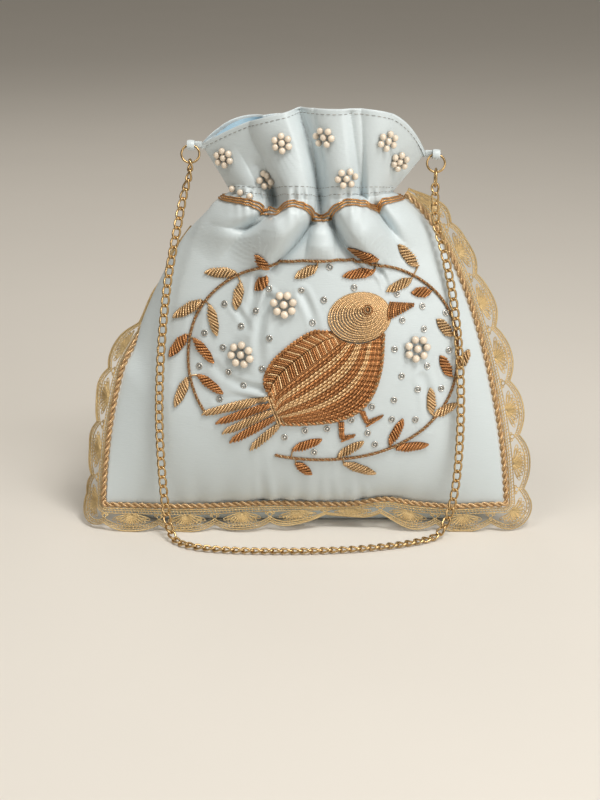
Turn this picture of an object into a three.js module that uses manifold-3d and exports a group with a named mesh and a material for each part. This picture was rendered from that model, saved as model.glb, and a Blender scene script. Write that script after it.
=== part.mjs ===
// A potli: a small drawstring pouch of pale blue satin, gathered at the neck under a flared frill,
// edged with gold cord and scalloped lace, worked in metal thread and carried on a curb chain.
// Millimetres, +Z up, front towards -Y. The origin is the middle of the flat underside.
import * as THREE from "three";
import { mergeVertices } from "three/addons/utils/BufferGeometryUtils.js";
import Module from "manifold-3d";

const wasm = await Module();
wasm.setup();

// Body of the pouch
const BASE_WIDTH = 221; // between the two bottom corners of the seam
const SEAM_HEIGHT = 14; // bottom seam above the surface that the bag stands on
const SEAM_FORWARD = 26; // bottom seam in front of the middle line
const BELLY_FRONT = 54; // how far forward the front's lower curve is pulled
const BELLY_BACK = 46; // how far back the heel's curve is pulled
const BELLY_HEIGHT = 36; // height of the handle that swells the front
const SIDE_BULGE = 106; // half-width handle low on the side seam
const SIDE_BULGE_HEIGHT = 100;
const SHOULDER_HALF = 72; // half-width handle that rounds the shoulder
const SHOULDER_HEIGHT = 172;
const BASE_FLAT_FRONT = 16; // the flat underside runs from here, in front of the middle line,
const BASE_FLAT_BACK = 20; // to here, behind it
const CLOTH = 1.5; // outer satin with its wadding
const SEAM_GAP = 0.4; // between the two outer panels along their seam
const SEAM_MITRE = 1.8; // width of the mitred edge, in cloth thicknesses

// Neck and frill
const NECK_WIDTH = 88;
const NECK_DEPTH = 42;
const NECK_HEIGHT = 184;
const NECK_SHIFT = 3.6; // the gathered neck sits a little to the right of the base
const MOUTH_WIDTH = 120; // between the two corners that carry the chain
const MOUTH_DEPTH = 38;
const MOUTH_SHIFT = 4.6;
const FRILL_FLARE = 6; // how quickly the frill opens out above the neck
const CORNER_HEIGHT = 207.3;
const CORNER_TILT = 2.3; // the left corner is this much higher, the right one this much lower
const RIM_FRONT = 232;
const RIM_BACK = 222;
const RIM_SKEW = 0.25; // the front rim is fullest to the right of its middle, the back rim to the left
const GATHER_RISE = 0.3; // a fold that stands out also stands up, by this share

// The left seam is rolled to the back below the shoulder, so that the front rounds over it
const SEAM_ROLL = { from: 0.3, full: 0.46, ease: 0.72, to: 0.9 }; // shares of the side seam
const ROLL_BACK = 12;
const ROLL_IN = 7;
const ROLL_OVER = 14; // how far the front stands out past its own even spread there
const ROLL_SPAN = 0.45; // of the half-width

// Lining
const LINING = 0.8;
const LINING_GAP = 0.6; // between the lining and the panels it is sewn into
const LINING_FLOOR = 3; // underside of the lining's own base, above the surface

// Edge trims
const CORD_RADIUS = 1.6;
const TRIM_GAP = 0.35; // between a trim and the cloth or cord that carries it
const TRIM_END_LEFT = 0.7; // the cord and the lace stop here, as a share of the side seam
const TRIM_END_RIGHT = 0.87;
const LACE_GAP = 0.5; // between the cord and the lace
const LACE_WIDTH = 13;
const LACE_THICKNESS = 0.8;
const SCALLOP_PITCH = 31;
const SCALLOP_DIP = 4.5; // how far the lace narrows between two scallops
const TUCK = { x: 20, reach: 42, share: 0.6 }; // where the bottom lace is partly tucked under
const BAND_THICKNESS = 1.2; // copper wire rows round the neck
const BAND_GAP = 0.6;

// Chain and its fittings
const LINK_LENGTH = 7.4;
const LINK_WIDTH = 4.9;
const WIRE_RADIUS = 0.62;
const LINK_TWIST = 0.75; // radians between a curb link's middle and its end
const LINK_WELD = 0.2; // neighbouring links of one stretch are welded across this gap
const LINK_FREE = 0.5; // links that meet between two stretches keep this clearance
const RING_RADIUS = 4.8; // middle of the ring's wire
const RING_LEAN = 0.4; // radians by which the belly pushes the rings forward of straight down
const LOOP_BORE = 1.75; // cloth loop at each corner of the mouth, which carries a ring
const LOOP_WALL = 0.8;
const LOOP_LENGTH = 4;
const TONGUE_HEIGHT = 3; // cloth strip that joins a loop to its corner
const CHAIN_CLEAR = 4.8; // middle of the chain in front of the cloth
const FLOOR_LIE = 1.7; // middle of the chain above the surface that it lies on

// Metal-thread embroidery
const STITCH_GAP = 0.4; // between the embroidery and the satin
const STITCH_EDGE = 0.3; // thickness of a raised piece at its edge
const STITCH_HEIGHT = 1.1; // and along its middle
const STEM_RADIUS = 0.55;
const LEAF_HALF = 2.9;
const PEARL = 2.2; // radius of one pearl of a flower
const WREATH_X = 10; // middle of the wreath, from the middle of the base
const WREATH_Z = 99.5;
const WREATH_HALF_WIDTH = 73;
const WREATH_HALF_HEIGHT = 55;
const WREATH_SQUARE = 2.2; // 2 would be an ellipse; more is squarer

// How finely the cloth is faceted: shares of the side seam up to the neck, then of the frill
const FRONT_COLUMNS = 24;
const BACK_COLUMNS = 14;
const HEM_ROWS = [0, 0.05];
const UNDER_ROWS = [0, 0.1, 0.3];
const BODY_ROWS = [0.14, 0.3, 0.38, 0.46, 0.59, 0.71, 0.81];
const BAND_ROWS = [0.92, 0.965]; // the copper rows round the neck lie between these
const FRILL_ROWS = [1, 1.33, 1.67, 2];

const SATIN = new THREE.MeshStandardMaterial({ color: 0xbfcbd0, roughness: 0.42, metalness: 0 });
const LINING_CLOTH = new THREE.MeshStandardMaterial({ color: 0x8fb2cc, roughness: 0.5, metalness: 0 });
const GOLD = new THREE.MeshStandardMaterial({ color: 0xc9a25c, roughness: 0.35, metalness: 0.9 });
const LACE_GOLD = new THREE.MeshStandardMaterial({ color: 0xcdb377, roughness: 0.5, metalness: 0.6 });
const COPPER = new THREE.MeshStandardMaterial({ color: 0xa8643c, roughness: 0.38, metalness: 0.85 });
const PEARLS = new THREE.MeshStandardMaterial({ color: 0xe9ddcd, roughness: 0.25, metalness: 0.1 });

const potli = new THREE.Group();
potli.name = "potli_bag";

const at = (x, y, z) => new THREE.Vector3(x, y, z);
const smooth = (from, to, x) => THREE.MathUtils.smoothstep(x, from, to);
const mix = THREE.MathUtils.lerp;

function addPiece(name, geometry, material, parent = potli) {
  const mesh = new THREE.Mesh(geometry, material);
  mesh.name = name;
  parent.add(mesh);
  return mesh;
}

// Solids: joining closed meshes

function toSolid(geometry) {
  const bare = geometry.clone();
  for (const name of ["normal", "uv"]) bare.deleteAttribute(name);
  const merged = mergeVertices(bare, 1e-4);
  return new wasm.Manifold(
    new wasm.Mesh({
      numProp: 3,
      vertProperties: new Float32Array(merged.attributes.position.array),
      triVerts: new Uint32Array(merged.index.array),
    }),
  );
}

function toGeometry(solid) {
  const mesh = solid.getMesh();
  const geometry = new THREE.BufferGeometry();
  geometry.setAttribute("position", new THREE.BufferAttribute(mesh.vertProperties, mesh.numProp));
  geometry.setIndex(new THREE.BufferAttribute(mesh.triVerts, 1));
  geometry.computeVertexNormals();
  return geometry;
}

const fuse = (geometries) => toGeometry(geometries.map(toSolid).reduce((all, next) => all.add(next)));

// A sheet with thickness: two grids of points, outer and inner, closed along every open edge.
// Cells that keep() refuses are left out and become gaps through the sheet.
function sheet(outer, inner, { wrap = false, keep = () => true } = {}) {
  const rows = outer.length;
  const columns = outer[0].length;
  const cells = wrap ? columns : columns - 1;
  const points = [...outer.flat(), ...inner.flat()];
  const layer = rows * columns;
  const id = (i, j) => i * columns + (j % columns);
  const kept = (i, j) => {
    if (i < 0 || i >= rows - 1) return false;
    if (!wrap && (j < 0 || j >= cells)) return false;
    return keep(i, (j + cells) % cells);
  };
  const index = [];
  const quad = (a, b, c, d) => index.push(a, b, c, a, c, d);
  for (let i = 0; i < rows - 1; i++) {
    for (let j = 0; j < cells; j++) {
      if (!kept(i, j)) continue;
      const [a, b, c, d] = [id(i, j), id(i, j + 1), id(i + 1, j + 1), id(i + 1, j)];
      quad(a, b, c, d);
      quad(a + layer, d + layer, c + layer, b + layer);
      if (!kept(i - 1, j)) quad(b, a, a + layer, b + layer);
      if (!kept(i + 1, j)) quad(d, c, c + layer, d + layer);
      if (!kept(i, j - 1)) quad(a, d, d + layer, a + layer);
      if (!kept(i, j + 1)) quad(c, b, b + layer, c + layer);
    }
  }
  const geometry = new THREE.BufferGeometry().setFromPoints(points);
  geometry.setIndex(index);
  geometry.computeVertexNormals();
  return geometry;
}

// Sections of a bar through a row of points, square to the row at each of them.
// The first edge of each section looks the way up() gives.
function barRings(points, radius, sides, closed, up) {
  const count = points.length;
  const near = (i) => points[closed ? (i + count) % count : THREE.MathUtils.clamp(i, 0, count - 1)];
  return points.map((point, i) => {
    const along = near(i + 1).clone().sub(near(i - 1)).normalize();
    const across = up(point);
    across.addScaledVector(along, -across.dot(along)).normalize();
    const other = along.clone().cross(across);
    return Array.from({ length: sides }, (_, k) => {
      const angle = (2 * Math.PI * k) / sides;
      return point.clone()
        .addScaledVector(across, radius * Math.cos(angle))
        .addScaledVector(other, radius * Math.sin(angle));
    });
  });
}

// A bar as a closed loop, or with two flat ends.
function tube(points, radius, sides, { closed = false, up = () => at(0, 1, 0) } = {}) {
  const rings = barRings(points, radius, sides, closed, up);
  const count = rings.length;
  const index = [];
  for (let i = 0; i < (closed ? count : count - 1); i++) {
    for (let k = 0; k < sides; k++) {
      const [near, far] = [i * sides, ((i + 1) % count) * sides];
      const next = (k + 1) % sides;
      index.push(near + k, near + next, far + next, near + k, far + next, far + k);
    }
  }
  const last = (count - 1) * sides;
  if (!closed) for (let k = 1; k < sides - 1; k++) index.push(0, k + 1, k, last, last + k, last + k + 1);
  const geometry = new THREE.BufferGeometry().setFromPoints(rings.flat());
  geometry.setIndex(index);
  geometry.computeVertexNormals();
  return geometry;
}

// The cloth: a loft from the left seam, over a spine, to the right seam.
// v runs from 0 at the bottom seam through 1 at the neck to 2 at the rim.

const NECK_HALF = NECK_WIDTH / 2;
const SIDE_BODY = new THREE.CubicBezierCurve3(
  at(BASE_WIDTH / 2, -SEAM_FORWARD, SEAM_HEIGHT),
  at(SIDE_BULGE, -SEAM_FORWARD * 0.8, SIDE_BULGE_HEIGHT),
  at(SHOULDER_HALF, 0, SHOULDER_HEIGHT),
  at(NECK_HALF, 0, NECK_HEIGHT),
);
const SIDE_FRILL = new THREE.QuadraticBezierCurve3(
  at(NECK_HALF, 0, NECK_HEIGHT),
  at(NECK_HALF + FRILL_FLARE, 0, mix(NECK_HEIGHT, CORNER_HEIGHT, 0.4)),
  at(MOUTH_WIDTH / 2, 0, CORNER_HEIGHT),
);
const FRONT_BODY = new THREE.CubicBezierCurve3(
  at(0, -SEAM_FORWARD, SEAM_HEIGHT),
  at(0, -BELLY_FRONT, BELLY_HEIGHT),
  at(0, -BELLY_FRONT * 0.8, mix(SEAM_HEIGHT, NECK_HEIGHT, 0.8)),
  at(0, -NECK_DEPTH / 2, NECK_HEIGHT),
);
const FRONT_FRILL = new THREE.QuadraticBezierCurve3(
  at(0, -NECK_DEPTH / 2, NECK_HEIGHT),
  at(0, -NECK_DEPTH / 2, mix(NECK_HEIGHT, RIM_FRONT, 0.5)),
  at(0, -MOUTH_DEPTH / 2, RIM_FRONT),
);
const UNDER_ROLL = new THREE.QuadraticBezierCurve3(
  at(0, -SEAM_FORWARD, SEAM_HEIGHT),
  at(0, -SEAM_FORWARD + 2, 0),
  at(0, -BASE_FLAT_FRONT, 0),
);
const UNDER_FLAT = new THREE.LineCurve3(at(0, -BASE_FLAT_FRONT, 0), at(0, BASE_FLAT_BACK, 0));
const BACK_BODY = new THREE.CubicBezierCurve3(
  at(0, BASE_FLAT_BACK, 0),
  at(0, BELLY_BACK, 0),
  at(0, BELLY_BACK * 0.9, mix(0, NECK_HEIGHT, 0.8)),
  at(0, NECK_DEPTH / 2, NECK_HEIGHT),
);
const BACK_FRILL = new THREE.QuadraticBezierCurve3(
  at(0, NECK_DEPTH / 2, NECK_HEIGHT),
  at(0, NECK_DEPTH / 2, mix(NECK_HEIGHT, RIM_BACK, 0.5)),
  at(0, MOUTH_DEPTH / 2, RIM_BACK),
);
const ROLL_END = 0.1; // shares of the back panel's rise taken by the roll under the seam
const FLAT_END = 0.3; // and by the flat underside
const HEEL_END = 0.5; // and, above it, by the heel, which rounds off into the back
const CORNER_SHARE = 0.06; // share of the side seam that those rows meet
const UNDER_FULL = 1.25; // the underside is flat nearly to its corners
const UNDER_SQUARE = 6;

const SHIFT_ROWS = [0.2, 0.85]; // the body leans over to the neck between these shares of the seam
const shiftAt = (v) =>
  v < 1 ? NECK_SHIFT * smooth(...SHIFT_ROWS, v) : mix(NECK_SHIFT, MOUTH_SHIFT, v - 1);

const rollAt = (v) => smooth(SEAM_ROLL.from, SEAM_ROLL.full, v) * (1 - smooth(SEAM_ROLL.ease, SEAM_ROLL.to, v));

function seamPoint(side, v) {
  const half = v <= 1 ? SIDE_BODY.getPoint(v) : SIDE_FRILL.getPoint(v - 1);
  const tilt = v <= 1 ? 0 : -side * CORNER_TILT * (v - 1);
  const roll = side < 0 ? rollAt(v) : 0;
  return at(shiftAt(v) + side * half.x + ROLL_IN * roll, half.y + ROLL_BACK * roll, half.z + tilt);
}

// How far the cloth stands off the plane between its seams: 0 on a seam, 1 at its fullest.
const FULL_ROUND = [2.2, 3.4]; // in the body, and at the rim, which runs straight and turns down near its ends
const FULL_SOFT = [0.75, 1];
const RIM_ROWS = [1.3, 2];
const rounded = (u, v) => {
  const rim = smooth(...RIM_ROWS, v);
  return (1 - Math.abs(u) ** mix(...FULL_ROUND, rim)) ** mix(...FULL_SOFT, rim);
};
const skewed = (u, v, skew) => u - skew * smooth(1, 2, v) * (1 - u ** 2);

const FRONT = {
  outward: -1,
  seamShare: (v) => v,
  spine: (v) => (v <= 1 ? FRONT_BODY.getPoint(v) : FRONT_FRILL.getPoint(v - 1)),
  fullness: (u, v) => rounded(skewed(u, v, RIM_SKEW), v),
  over: (u, v) => {
    const share = Math.sqrt(Math.min(1, (u + 1) / ROLL_SPAN));
    return ROLL_OVER * rollAt(v) * 4 * share * (1 - share);
  },
};

const BACK = {
  outward: 1,
  seamShare: (v) => {
    if (v > 1) return v;
    if (v < FLAT_END) return (CORNER_SHARE * v) / FLAT_END;
    return mix(CORNER_SHARE, 1, (v - FLAT_END) / (1 - FLAT_END));
  },
  spine: (v) => {
    if (v > 1) return BACK_FRILL.getPoint(v - 1);
    if (v < ROLL_END) return UNDER_ROLL.getPoint(v / ROLL_END);
    if (v < FLAT_END) return UNDER_FLAT.getPoint((v - ROLL_END) / (FLAT_END - ROLL_END));
    return BACK_BODY.getPoint((v - FLAT_END) / (1 - FLAT_END));
  },
  fullness: (u, v) => {
    const flat = Math.min(1, UNDER_FULL * (1 - Math.abs(u) ** UNDER_SQUARE));
    return mix(flat, rounded(skewed(u, v, -RIM_SKEW), v), smooth(FLAT_END, HEEL_END, v));
  },
  over: () => 0,
};

// Gathers: folds that start at the neck and run out over the cloth. Each follows a curve through
// three points, as offsets from the middle of the neck; a negative lift is a crease.
const fold = (from, via, to, width, lift) => ({ from, via, to, width, lift });
const FRONT_FOLDS = [
  fold([-10.5, -8], [-19, -17], [-43, -34], [10, 14], [15, 0]), // left tube
  fold([22, -8], [27, -20], [48, -34], [11, 14], [15, 0]), // right tube
  fold([-38, -5], [-54, -14], [-66, -28], [12, 17], [8, 0]), // left shoulder
  fold([42, -5], [54, -14], [68, -29], [9, 17], [7, 0]), // right shoulder
  fold([5, -18], [5, -25], [4, -34], [7, 9], [6, 0]), // between the tubes
  fold([-23, -8], [-33, -18], [-54, -16], [5, 6], [-8, -1]), // creases beside the tubes
  fold([0, -10], [-9, -21], [-21, -34], [5, 6], [-8, -3]),
  fold([11, -10], [18, -27], [36, -35], [5, 6], [-8, -3]),
  fold([34, -4], [41, -16], [53, -27], [5, 6], [-8, -1]),
  fold([5, -7], [2, 22], [-7, 46], [6, 8], [-9, -10]), // frill: fold down the middle
  fold([-10, -2], [-12, 18], [-22, 38], [10, 15], [8, 5]), // frill: left lobe
  fold([17, -2], [18, 22], [14, 47], [9, 13], [8, 5]), // frill: right lobe
  fold([34, -2], [35, 21], [33, 46], [8, 9], [6, 4]), // frill: second right lobe
  fold([-36, 0], [-42, 12], [-50, 22], [9, 10], [6, 1]), // frill: outer left lobe
  fold([-19, -4], [-19, 6], [-28, 16], [5, 6], [-9, -1]), // frill: pocket on the left
  fold([26, 0], [24, 20], [20, 46], [5, 6], [-5, -3]),
];
const BACK_FOLD_COUNT = 4;
const BACK_FOLD_PITCH = { neck: 18, frill: 26, body: 34 }; // between two folds: at the neck and at their ends
const BACK_FOLDS = Array.from({ length: BACK_FOLD_COUNT }, (_, i) => i - (BACK_FOLD_COUNT - 1) / 2).flatMap(
  (place) => {
    const [neck, frill, body] = Object.values(BACK_FOLD_PITCH).map((pitch) => place * pitch);
    return [
      fold([neck, -2], [mix(neck, body, 0.5), -18], [body, -38], [9, 15], [7, 0]),
      fold([neck, 2], [mix(neck, frill, 0.5), 18], [frill, 38], [9, 12], [6, 5]),
    ];
  },
);
const FOLD_SAMPLES = 14;
const FOLD_KEEP = 0.3; // share of its run over which a fold keeps its height

function sampleFold({ from, via, to, width, lift }) {
  const place = ([x, z]) => new THREE.Vector2(NECK_SHIFT + x, NECK_HEIGHT + z);
  const line = new THREE.QuadraticBezierCurve(place(from), place(via), place(to));
  return line.getPoints(FOLD_SAMPLES).map((point, i) => {
    const share = i / FOLD_SAMPLES;
    return { point, width: mix(...width, share), lift: mix(...lift, smooth(FOLD_KEEP, 1, share)) };
  });
}
FRONT.folds = FRONT_FOLDS.map(sampleFold);
BACK.folds = BACK_FOLDS.map(sampleFold);

// Across its width a gather is a full round tube, and a crease a sharp valley.
const TUBE_ROUND = 0.7;
const CREASE_SHARP = 1.8;
const foldShape = ({ reach, lift }) => (lift > 0 ? (1 - reach ** 2) ** TUBE_ROUND : (1 - reach) ** CREASE_SHARP);

function foldLift(folds, x, z) {
  let [crest, crease] = [0, 0];
  for (const samples of folds) {
    let near = null;
    for (const sample of samples) {
      const reach = Math.hypot(x - sample.point.x, z - sample.point.y) / sample.width;
      if (!near || reach < near.reach) near = { reach, lift: sample.lift };
    }
    if (near.reach >= 1) continue;
    const lift = near.lift * foldShape(near);
    crest = Math.max(crest, lift);
    crease = Math.min(crease, lift);
  }
  return crest + crease;
}

function plainPoint(panel, u, v) {
  const seamV = panel.seamShare(v);
  const edge = seamPoint(-1, seamV).lerp(seamPoint(1, seamV), (u + 1) / 2);
  const spine = panel.spine(v);
  const full = panel.fullness(u, v);
  return at(edge.x - panel.over(u, v), mix(edge.y, spine.y, full), mix(edge.z, spine.z, full));
}

// How far the gathers lift the cloth: nothing along the seams.
const SEAM_CALM = 8;
const gather = (panel, { x, z }, u) => foldLift(panel.folds, x, z) * (1 - Math.abs(u) ** SEAM_CALM);

// Direction from the outer face of a panel to its inner face.
// Along the seam both panels are mitred to the plane between them.
function inwardAt(panel, u, v) {
  const side = Math.sign(u);
  const onSide = Math.abs(u) > 0.999;
  const onBottom = v < 0.001;
  if (onSide || onBottom) return at(onSide ? -side : 0, 0, onBottom ? 1 : 0).multiplyScalar(SEAM_MITRE);
  const step = 0.002;
  const across = plainPoint(panel, u + step, v).sub(plainPoint(panel, u - step, v));
  const along = plainPoint(panel, u, Math.min(2, v + step)).sub(plainPoint(panel, u, v - step));
  return across.cross(along).normalize().multiplyScalar(panel.outward);
}

function clothGrid(panel, columns, rows, depth) {
  return rows.map((v) =>
    columns.map((u) => {
      const point = plainPoint(panel, u, v);
      const lift = gather(panel, point, u);
      point.addScaledVector(inwardAt(panel, u, v), depth);
      point.y += panel.outward * (lift + SEAM_GAP / 2);
      point.z += GATHER_RISE * lift * (1 - smooth(1, 2, v));
      return point;
    }),
  );
}

// Columns run so that the outer face looks outwards: left to right in front, right to left behind.
const spread = (count, outward) =>
  Array.from({ length: count + 1 }, (_, j) => -outward * ((2 * j) / count - 1));
const FRONT_U = spread(FRONT_COLUMNS, FRONT.outward);
const BACK_U = spread(BACK_COLUMNS, BACK.outward);
// Row of the back panel that meets the side seam at a given share of its length.
const backRow = (share) =>
  share > 1 ? share : mix(FLAT_END, 1, (share - CORNER_SHARE) / (1 - CORNER_SHARE));
const UPPER_ROWS = [...BODY_ROWS, ...BAND_ROWS, ...FRILL_ROWS];
const FRONT_V = [...HEM_ROWS, ...UPPER_ROWS];
const BACK_V = [...UNDER_ROWS, ...UPPER_ROWS.map(backRow)];

const clothSheet = (panel, columns, rows) =>
  sheet(clothGrid(panel, columns, rows, 0), clothGrid(panel, columns, rows, CLOTH));

const frontPanel = addPiece("front_panel", clothSheet(FRONT, FRONT_U, FRONT_V), SATIN);
addPiece("back_panel", clothSheet(BACK, BACK_U, BACK_V), SATIN);

// Rows that run all the way round: along the front, then back along the rear panel.
// They pass the seams a little clear of the panels' edges.
const SEAM_EASE = 0.6;

function ringRows(shares, depth) {
  const front = clothGrid(FRONT, FRONT_U, shares, depth);
  const back = clothGrid(BACK, BACK_U.slice(1, -1), shares.map(backRow), depth);
  for (const row of front) {
    row[0].set(row[0].x + Math.sign(depth) * SEAM_EASE, 0, row[0].z);
    row.at(-1).set(row.at(-1).x - Math.sign(depth) * SEAM_EASE, 0, row.at(-1).z);
  }
  return shares.map((_, i) => [...front[i], ...back[i]]);
}

// The lining hangs loose inside the pouch and follows the frill for the last stretch to the rim.
const LINING_LOOSE = [
  { share: 0.14, side: 8, depth: 8 },
  { share: 0.43, side: 8, depth: 9 },
  { share: 0.72, side: 9, depth: 11 },
  { share: 0.93, side: 14, depth: 14 },
  { share: 1.1, side: 8, depth: 13 },
]; // where along the side seam, and how far the lining hangs off the satin there
const LINING_RIM_ROWS = FRILL_ROWS.slice(-2);
const LINING_FOOT = { width: 0.72, depth: 0.4 }; // its base, as shares of the row above

function looseRow({ share, side, depth }, inset) {
  const ring = [
    ...FRONT_U.map((u) => plainPoint(FRONT, u, share)),
    ...BACK_U.slice(1, -1).map((u) => plainPoint(BACK, u, backRow(share))),
  ];
  const box = new THREE.Box3().setFromPoints(ring);
  const middle = box.getCenter(at(0, 0, 0));
  const half = box.getSize(at(0, 0, 0)).divideScalar(2);
  const narrow = 1 - (side + inset) / half.x;
  const shallow = 1 - (depth + inset) / half.y;
  return ring.map(({ x, y, z }) => at(mix(middle.x, x, narrow), mix(middle.y, y, shallow), z));
}

function liningFace(inset, floor) {
  const rows = [
    ...LINING_LOOSE.map((place) => looseRow(place, inset)),
    ...ringRows(LINING_RIM_ROWS, CLOTH + LINING_GAP + inset),
  ];
  const middle = at(0, 0, floor);
  const foot = rows[0].map(({ x, y }) => at(x * LINING_FOOT.width, y * LINING_FOOT.depth, floor));
  return [foot.map(() => middle.clone()), foot, ...rows];
}
const liningOuter = liningFace(0, LINING_FLOOR);
const liningInner = liningFace(LINING, LINING_FLOOR + LINING);
addPiece("lining", sheet(liningOuter, liningInner, { wrap: true }), LINING_CLOTH);

// Seam trims: the cord lies in the seam and the lace stands out beyond the cord.
const CORD_EASE = 0.2;
const SIDE_STEPS = 14;
const CORNER_STEPS = 4;
const BOTTOM_STEPS = 6;
const CORD_BOTTOM = at(0, -0.87, -0.5); // the bottom cord leans forward of the seam
const LACE_BOTTOM = at(0, -0.62, -0.785); // and the lace hangs forward and down
const CORD_LEAN_ROLLED = 0.75; // where the left seam is rolled back, the cord leans back with it
const LACE_LEAN_ROLLED = 4; // and the lace turns behind the bag
const LACE_LEAN = { left: [0.9, 1.25], right: [0.2, 0.5] }; // from the foot of each side to its shoulder
const LEAN_ROWS = [0.15, 0.7]; // the lean grows between these shares of the side seam

function seamFrames() {
  const side = (which, share) => {
    const seam = seamPoint(which, share);
    const rise = seamPoint(which, Math.min(1, share + 0.01)).sub(seamPoint(which, Math.max(0, share - 0.01)));
    const out = at(rise.z * which, 0, -rise.x * which).normalize();
    const roll = which < 0 ? rollAt(share) : 0;
    const even = mix(...(which < 0 ? LACE_LEAN.left : LACE_LEAN.right), smooth(...LEAN_ROWS, share));
    const leaning = (lean) => out.clone().add(at(0, lean, 0)).normalize();
    return {
      seam,
      cordOut: leaning(CORD_LEAN_ROLLED * roll),
      laceOut: leaning(mix(even, LACE_LEAN_ROLLED, roll)),
    };
  };
  const turn = (from, to, share) => ({
    seam: from.seam.clone().lerp(to.seam, share),
    cordOut: from.cordOut.clone().lerp(to.cordOut, share).normalize(),
    laceOut: from.laceOut.clone().lerp(to.laceOut, share).normalize(),
  });
  const bottom = (share) => ({
    seam: seamPoint(-1, 0).lerp(seamPoint(1, 0), share),
    cordOut: CORD_BOTTOM.clone().normalize(),
    laceOut: LACE_BOTTOM.clone().normalize(),
  });
  const steps = (count) => Array.from({ length: count + 1 }, (_, i) => i / count);
  const sides = (which) => {
    const end = which < 0 ? TRIM_END_LEFT : TRIM_END_RIGHT;
    return steps(SIDE_STEPS).map((share) => side(which, share * end));
  };
  const corner = (which) =>
    steps(CORNER_STEPS).slice(1, -1).map((share) => turn(side(which, 0), bottom(which < 0 ? 0 : 1), share));
  return [
    ...sides(-1).reverse(),
    ...corner(-1),
    ...steps(BOTTOM_STEPS).map(bottom),
    ...corner(1).reverse(),
    ...sides(1),
  ].map((frame) => {
    const ease = 1 + CORD_EASE * Math.abs(frame.cordOut.y); // the seam opens wider along the bottom
    const middle = frame.seam.clone().addScaledVector(frame.cordOut, (CORD_RADIUS + TRIM_GAP) * ease);
    return { ...frame, middle, laceFoot: middle.clone().addScaledVector(frame.laceOut, CORD_RADIUS + LACE_GAP) };
  });
}
const FRAMES = seamFrames();

const CORD_SIDES = 4;
addPiece("edge_cord", tube(FRAMES.map((frame) => frame.middle), CORD_RADIUS, CORD_SIDES), GOLD);

// Lace: a strip with a scalloped outer edge and one fan-shaped gap in each scallop.
const SCALLOP_COLUMNS = 3;
const LACE_RIB = 0.34; // inner border, as a share of the lace's width
const LACE_FAN = 0.7; // outer edge of the gap

function laceGrids() {
  const reach = FRAMES.map((frame) => frame.laceFoot.clone().addScaledVector(frame.laceOut, LACE_WIDTH / 2));
  const run = reach.reduce((sum, point, i) => [...sum, i ? sum[i - 1] + point.distanceTo(reach[i - 1]) : 0], []);
  const length = run.at(-1);
  const scallops = Math.max(2, Math.round(length / SCALLOP_PITCH));
  const columns = scallops * SCALLOP_COLUMNS;
  const faces = [1, -1].map(() => Array.from({ length: 4 }, () => []));
  for (let j = 0; j <= columns; j++) {
    const goal = (length * j) / columns;
    const k = Math.min(run.length - 2, Math.max(0, run.findIndex((at) => at >= goal) - 1));
    const share = THREE.MathUtils.clamp((goal - run[k]) / (run[k + 1] - run[k]), 0, 1);
    const foot = FRAMES[k].laceFoot.clone().lerp(FRAMES[k + 1].laceFoot, share);
    const out = FRAMES[k].laceOut.clone().lerp(FRAMES[k + 1].laceOut, share).normalize();
    const along = reach[k + 1].clone().sub(reach[k]).normalize();
    const through = along.cross(out).normalize();
    const dip = Math.abs(Math.cos((Math.PI * j) / SCALLOP_COLUMNS)) ** 3;
    const tuck = out.y < 0 ? TUCK.share * (1 - smooth(0, TUCK.reach, Math.abs(foot.x - TUCK.x))) : 0;
    const width = (LACE_WIDTH - SCALLOP_DIP * dip) * (1 - tuck);
    [0, LACE_RIB, LACE_FAN, 1].forEach((row, i) => {
      const point = foot.clone().addScaledVector(out, row * width);
      [1, -1].forEach((face, f) =>
        faces[f][i].push(point.clone().addScaledVector(through, (face * LACE_THICKNESS) / 2)));
    });
  }
  return faces;
}
const inFan = (i, j) => i === 1 && j % SCALLOP_COLUMNS > 0 && j % SCALLOP_COLUMNS < SCALLOP_COLUMNS - 1;
const [laceFront, laceBack] = laceGrids();
addPiece("lace_trim", sheet(laceFront, laceBack, { keep: (i, j) => !inFan(i, j) }), LACE_GOLD);

// Copper wire rows couched round the neck, over every gather.
addPiece(
  "neck_band",
  sheet(ringRows(BAND_ROWS, -BAND_GAP - BAND_THICKNESS), ringRows(BAND_ROWS, -BAND_GAP), { wrap: true }),
  COPPER,
);

// The chain hangs from a cloth loop at each corner of the mouth and swings about both loops.
const LEFT_CORNER = seamPoint(-1, 2);
const RIGHT_CORNER = seamPoint(1, 2);
const SWING_AXIS = RIGHT_CORNER.clone().sub(LEFT_CORNER).normalize();
const DOWN = at(SWING_AXIS.z, 0, -SWING_AXIS.x); // square to the axis
const HANG = DOWN.clone().applyAxisAngle(SWING_AXIS, -RING_LEAN);
const LOOP_REACH = RING_RADIUS + WIRE_RADIUS + TRIM_GAP; // so that the ring swings past the corner
const LOOP_FORWARD = LOOP_BORE + LOOP_WALL / 2; // the loop's rear wall runs on into the seam
const loopMiddle = (corner, side) =>
  corner.clone().addScaledVector(SWING_AXIS, side * LOOP_REACH).add(at(0, -LOOP_FORWARD, 0));
const LEFT_LOOP = loopMiddle(LEFT_CORNER, -1);
const RIGHT_LOOP = loopMiddle(RIGHT_CORNER, 1);
const LOOP_SIDES = 8;

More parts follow.
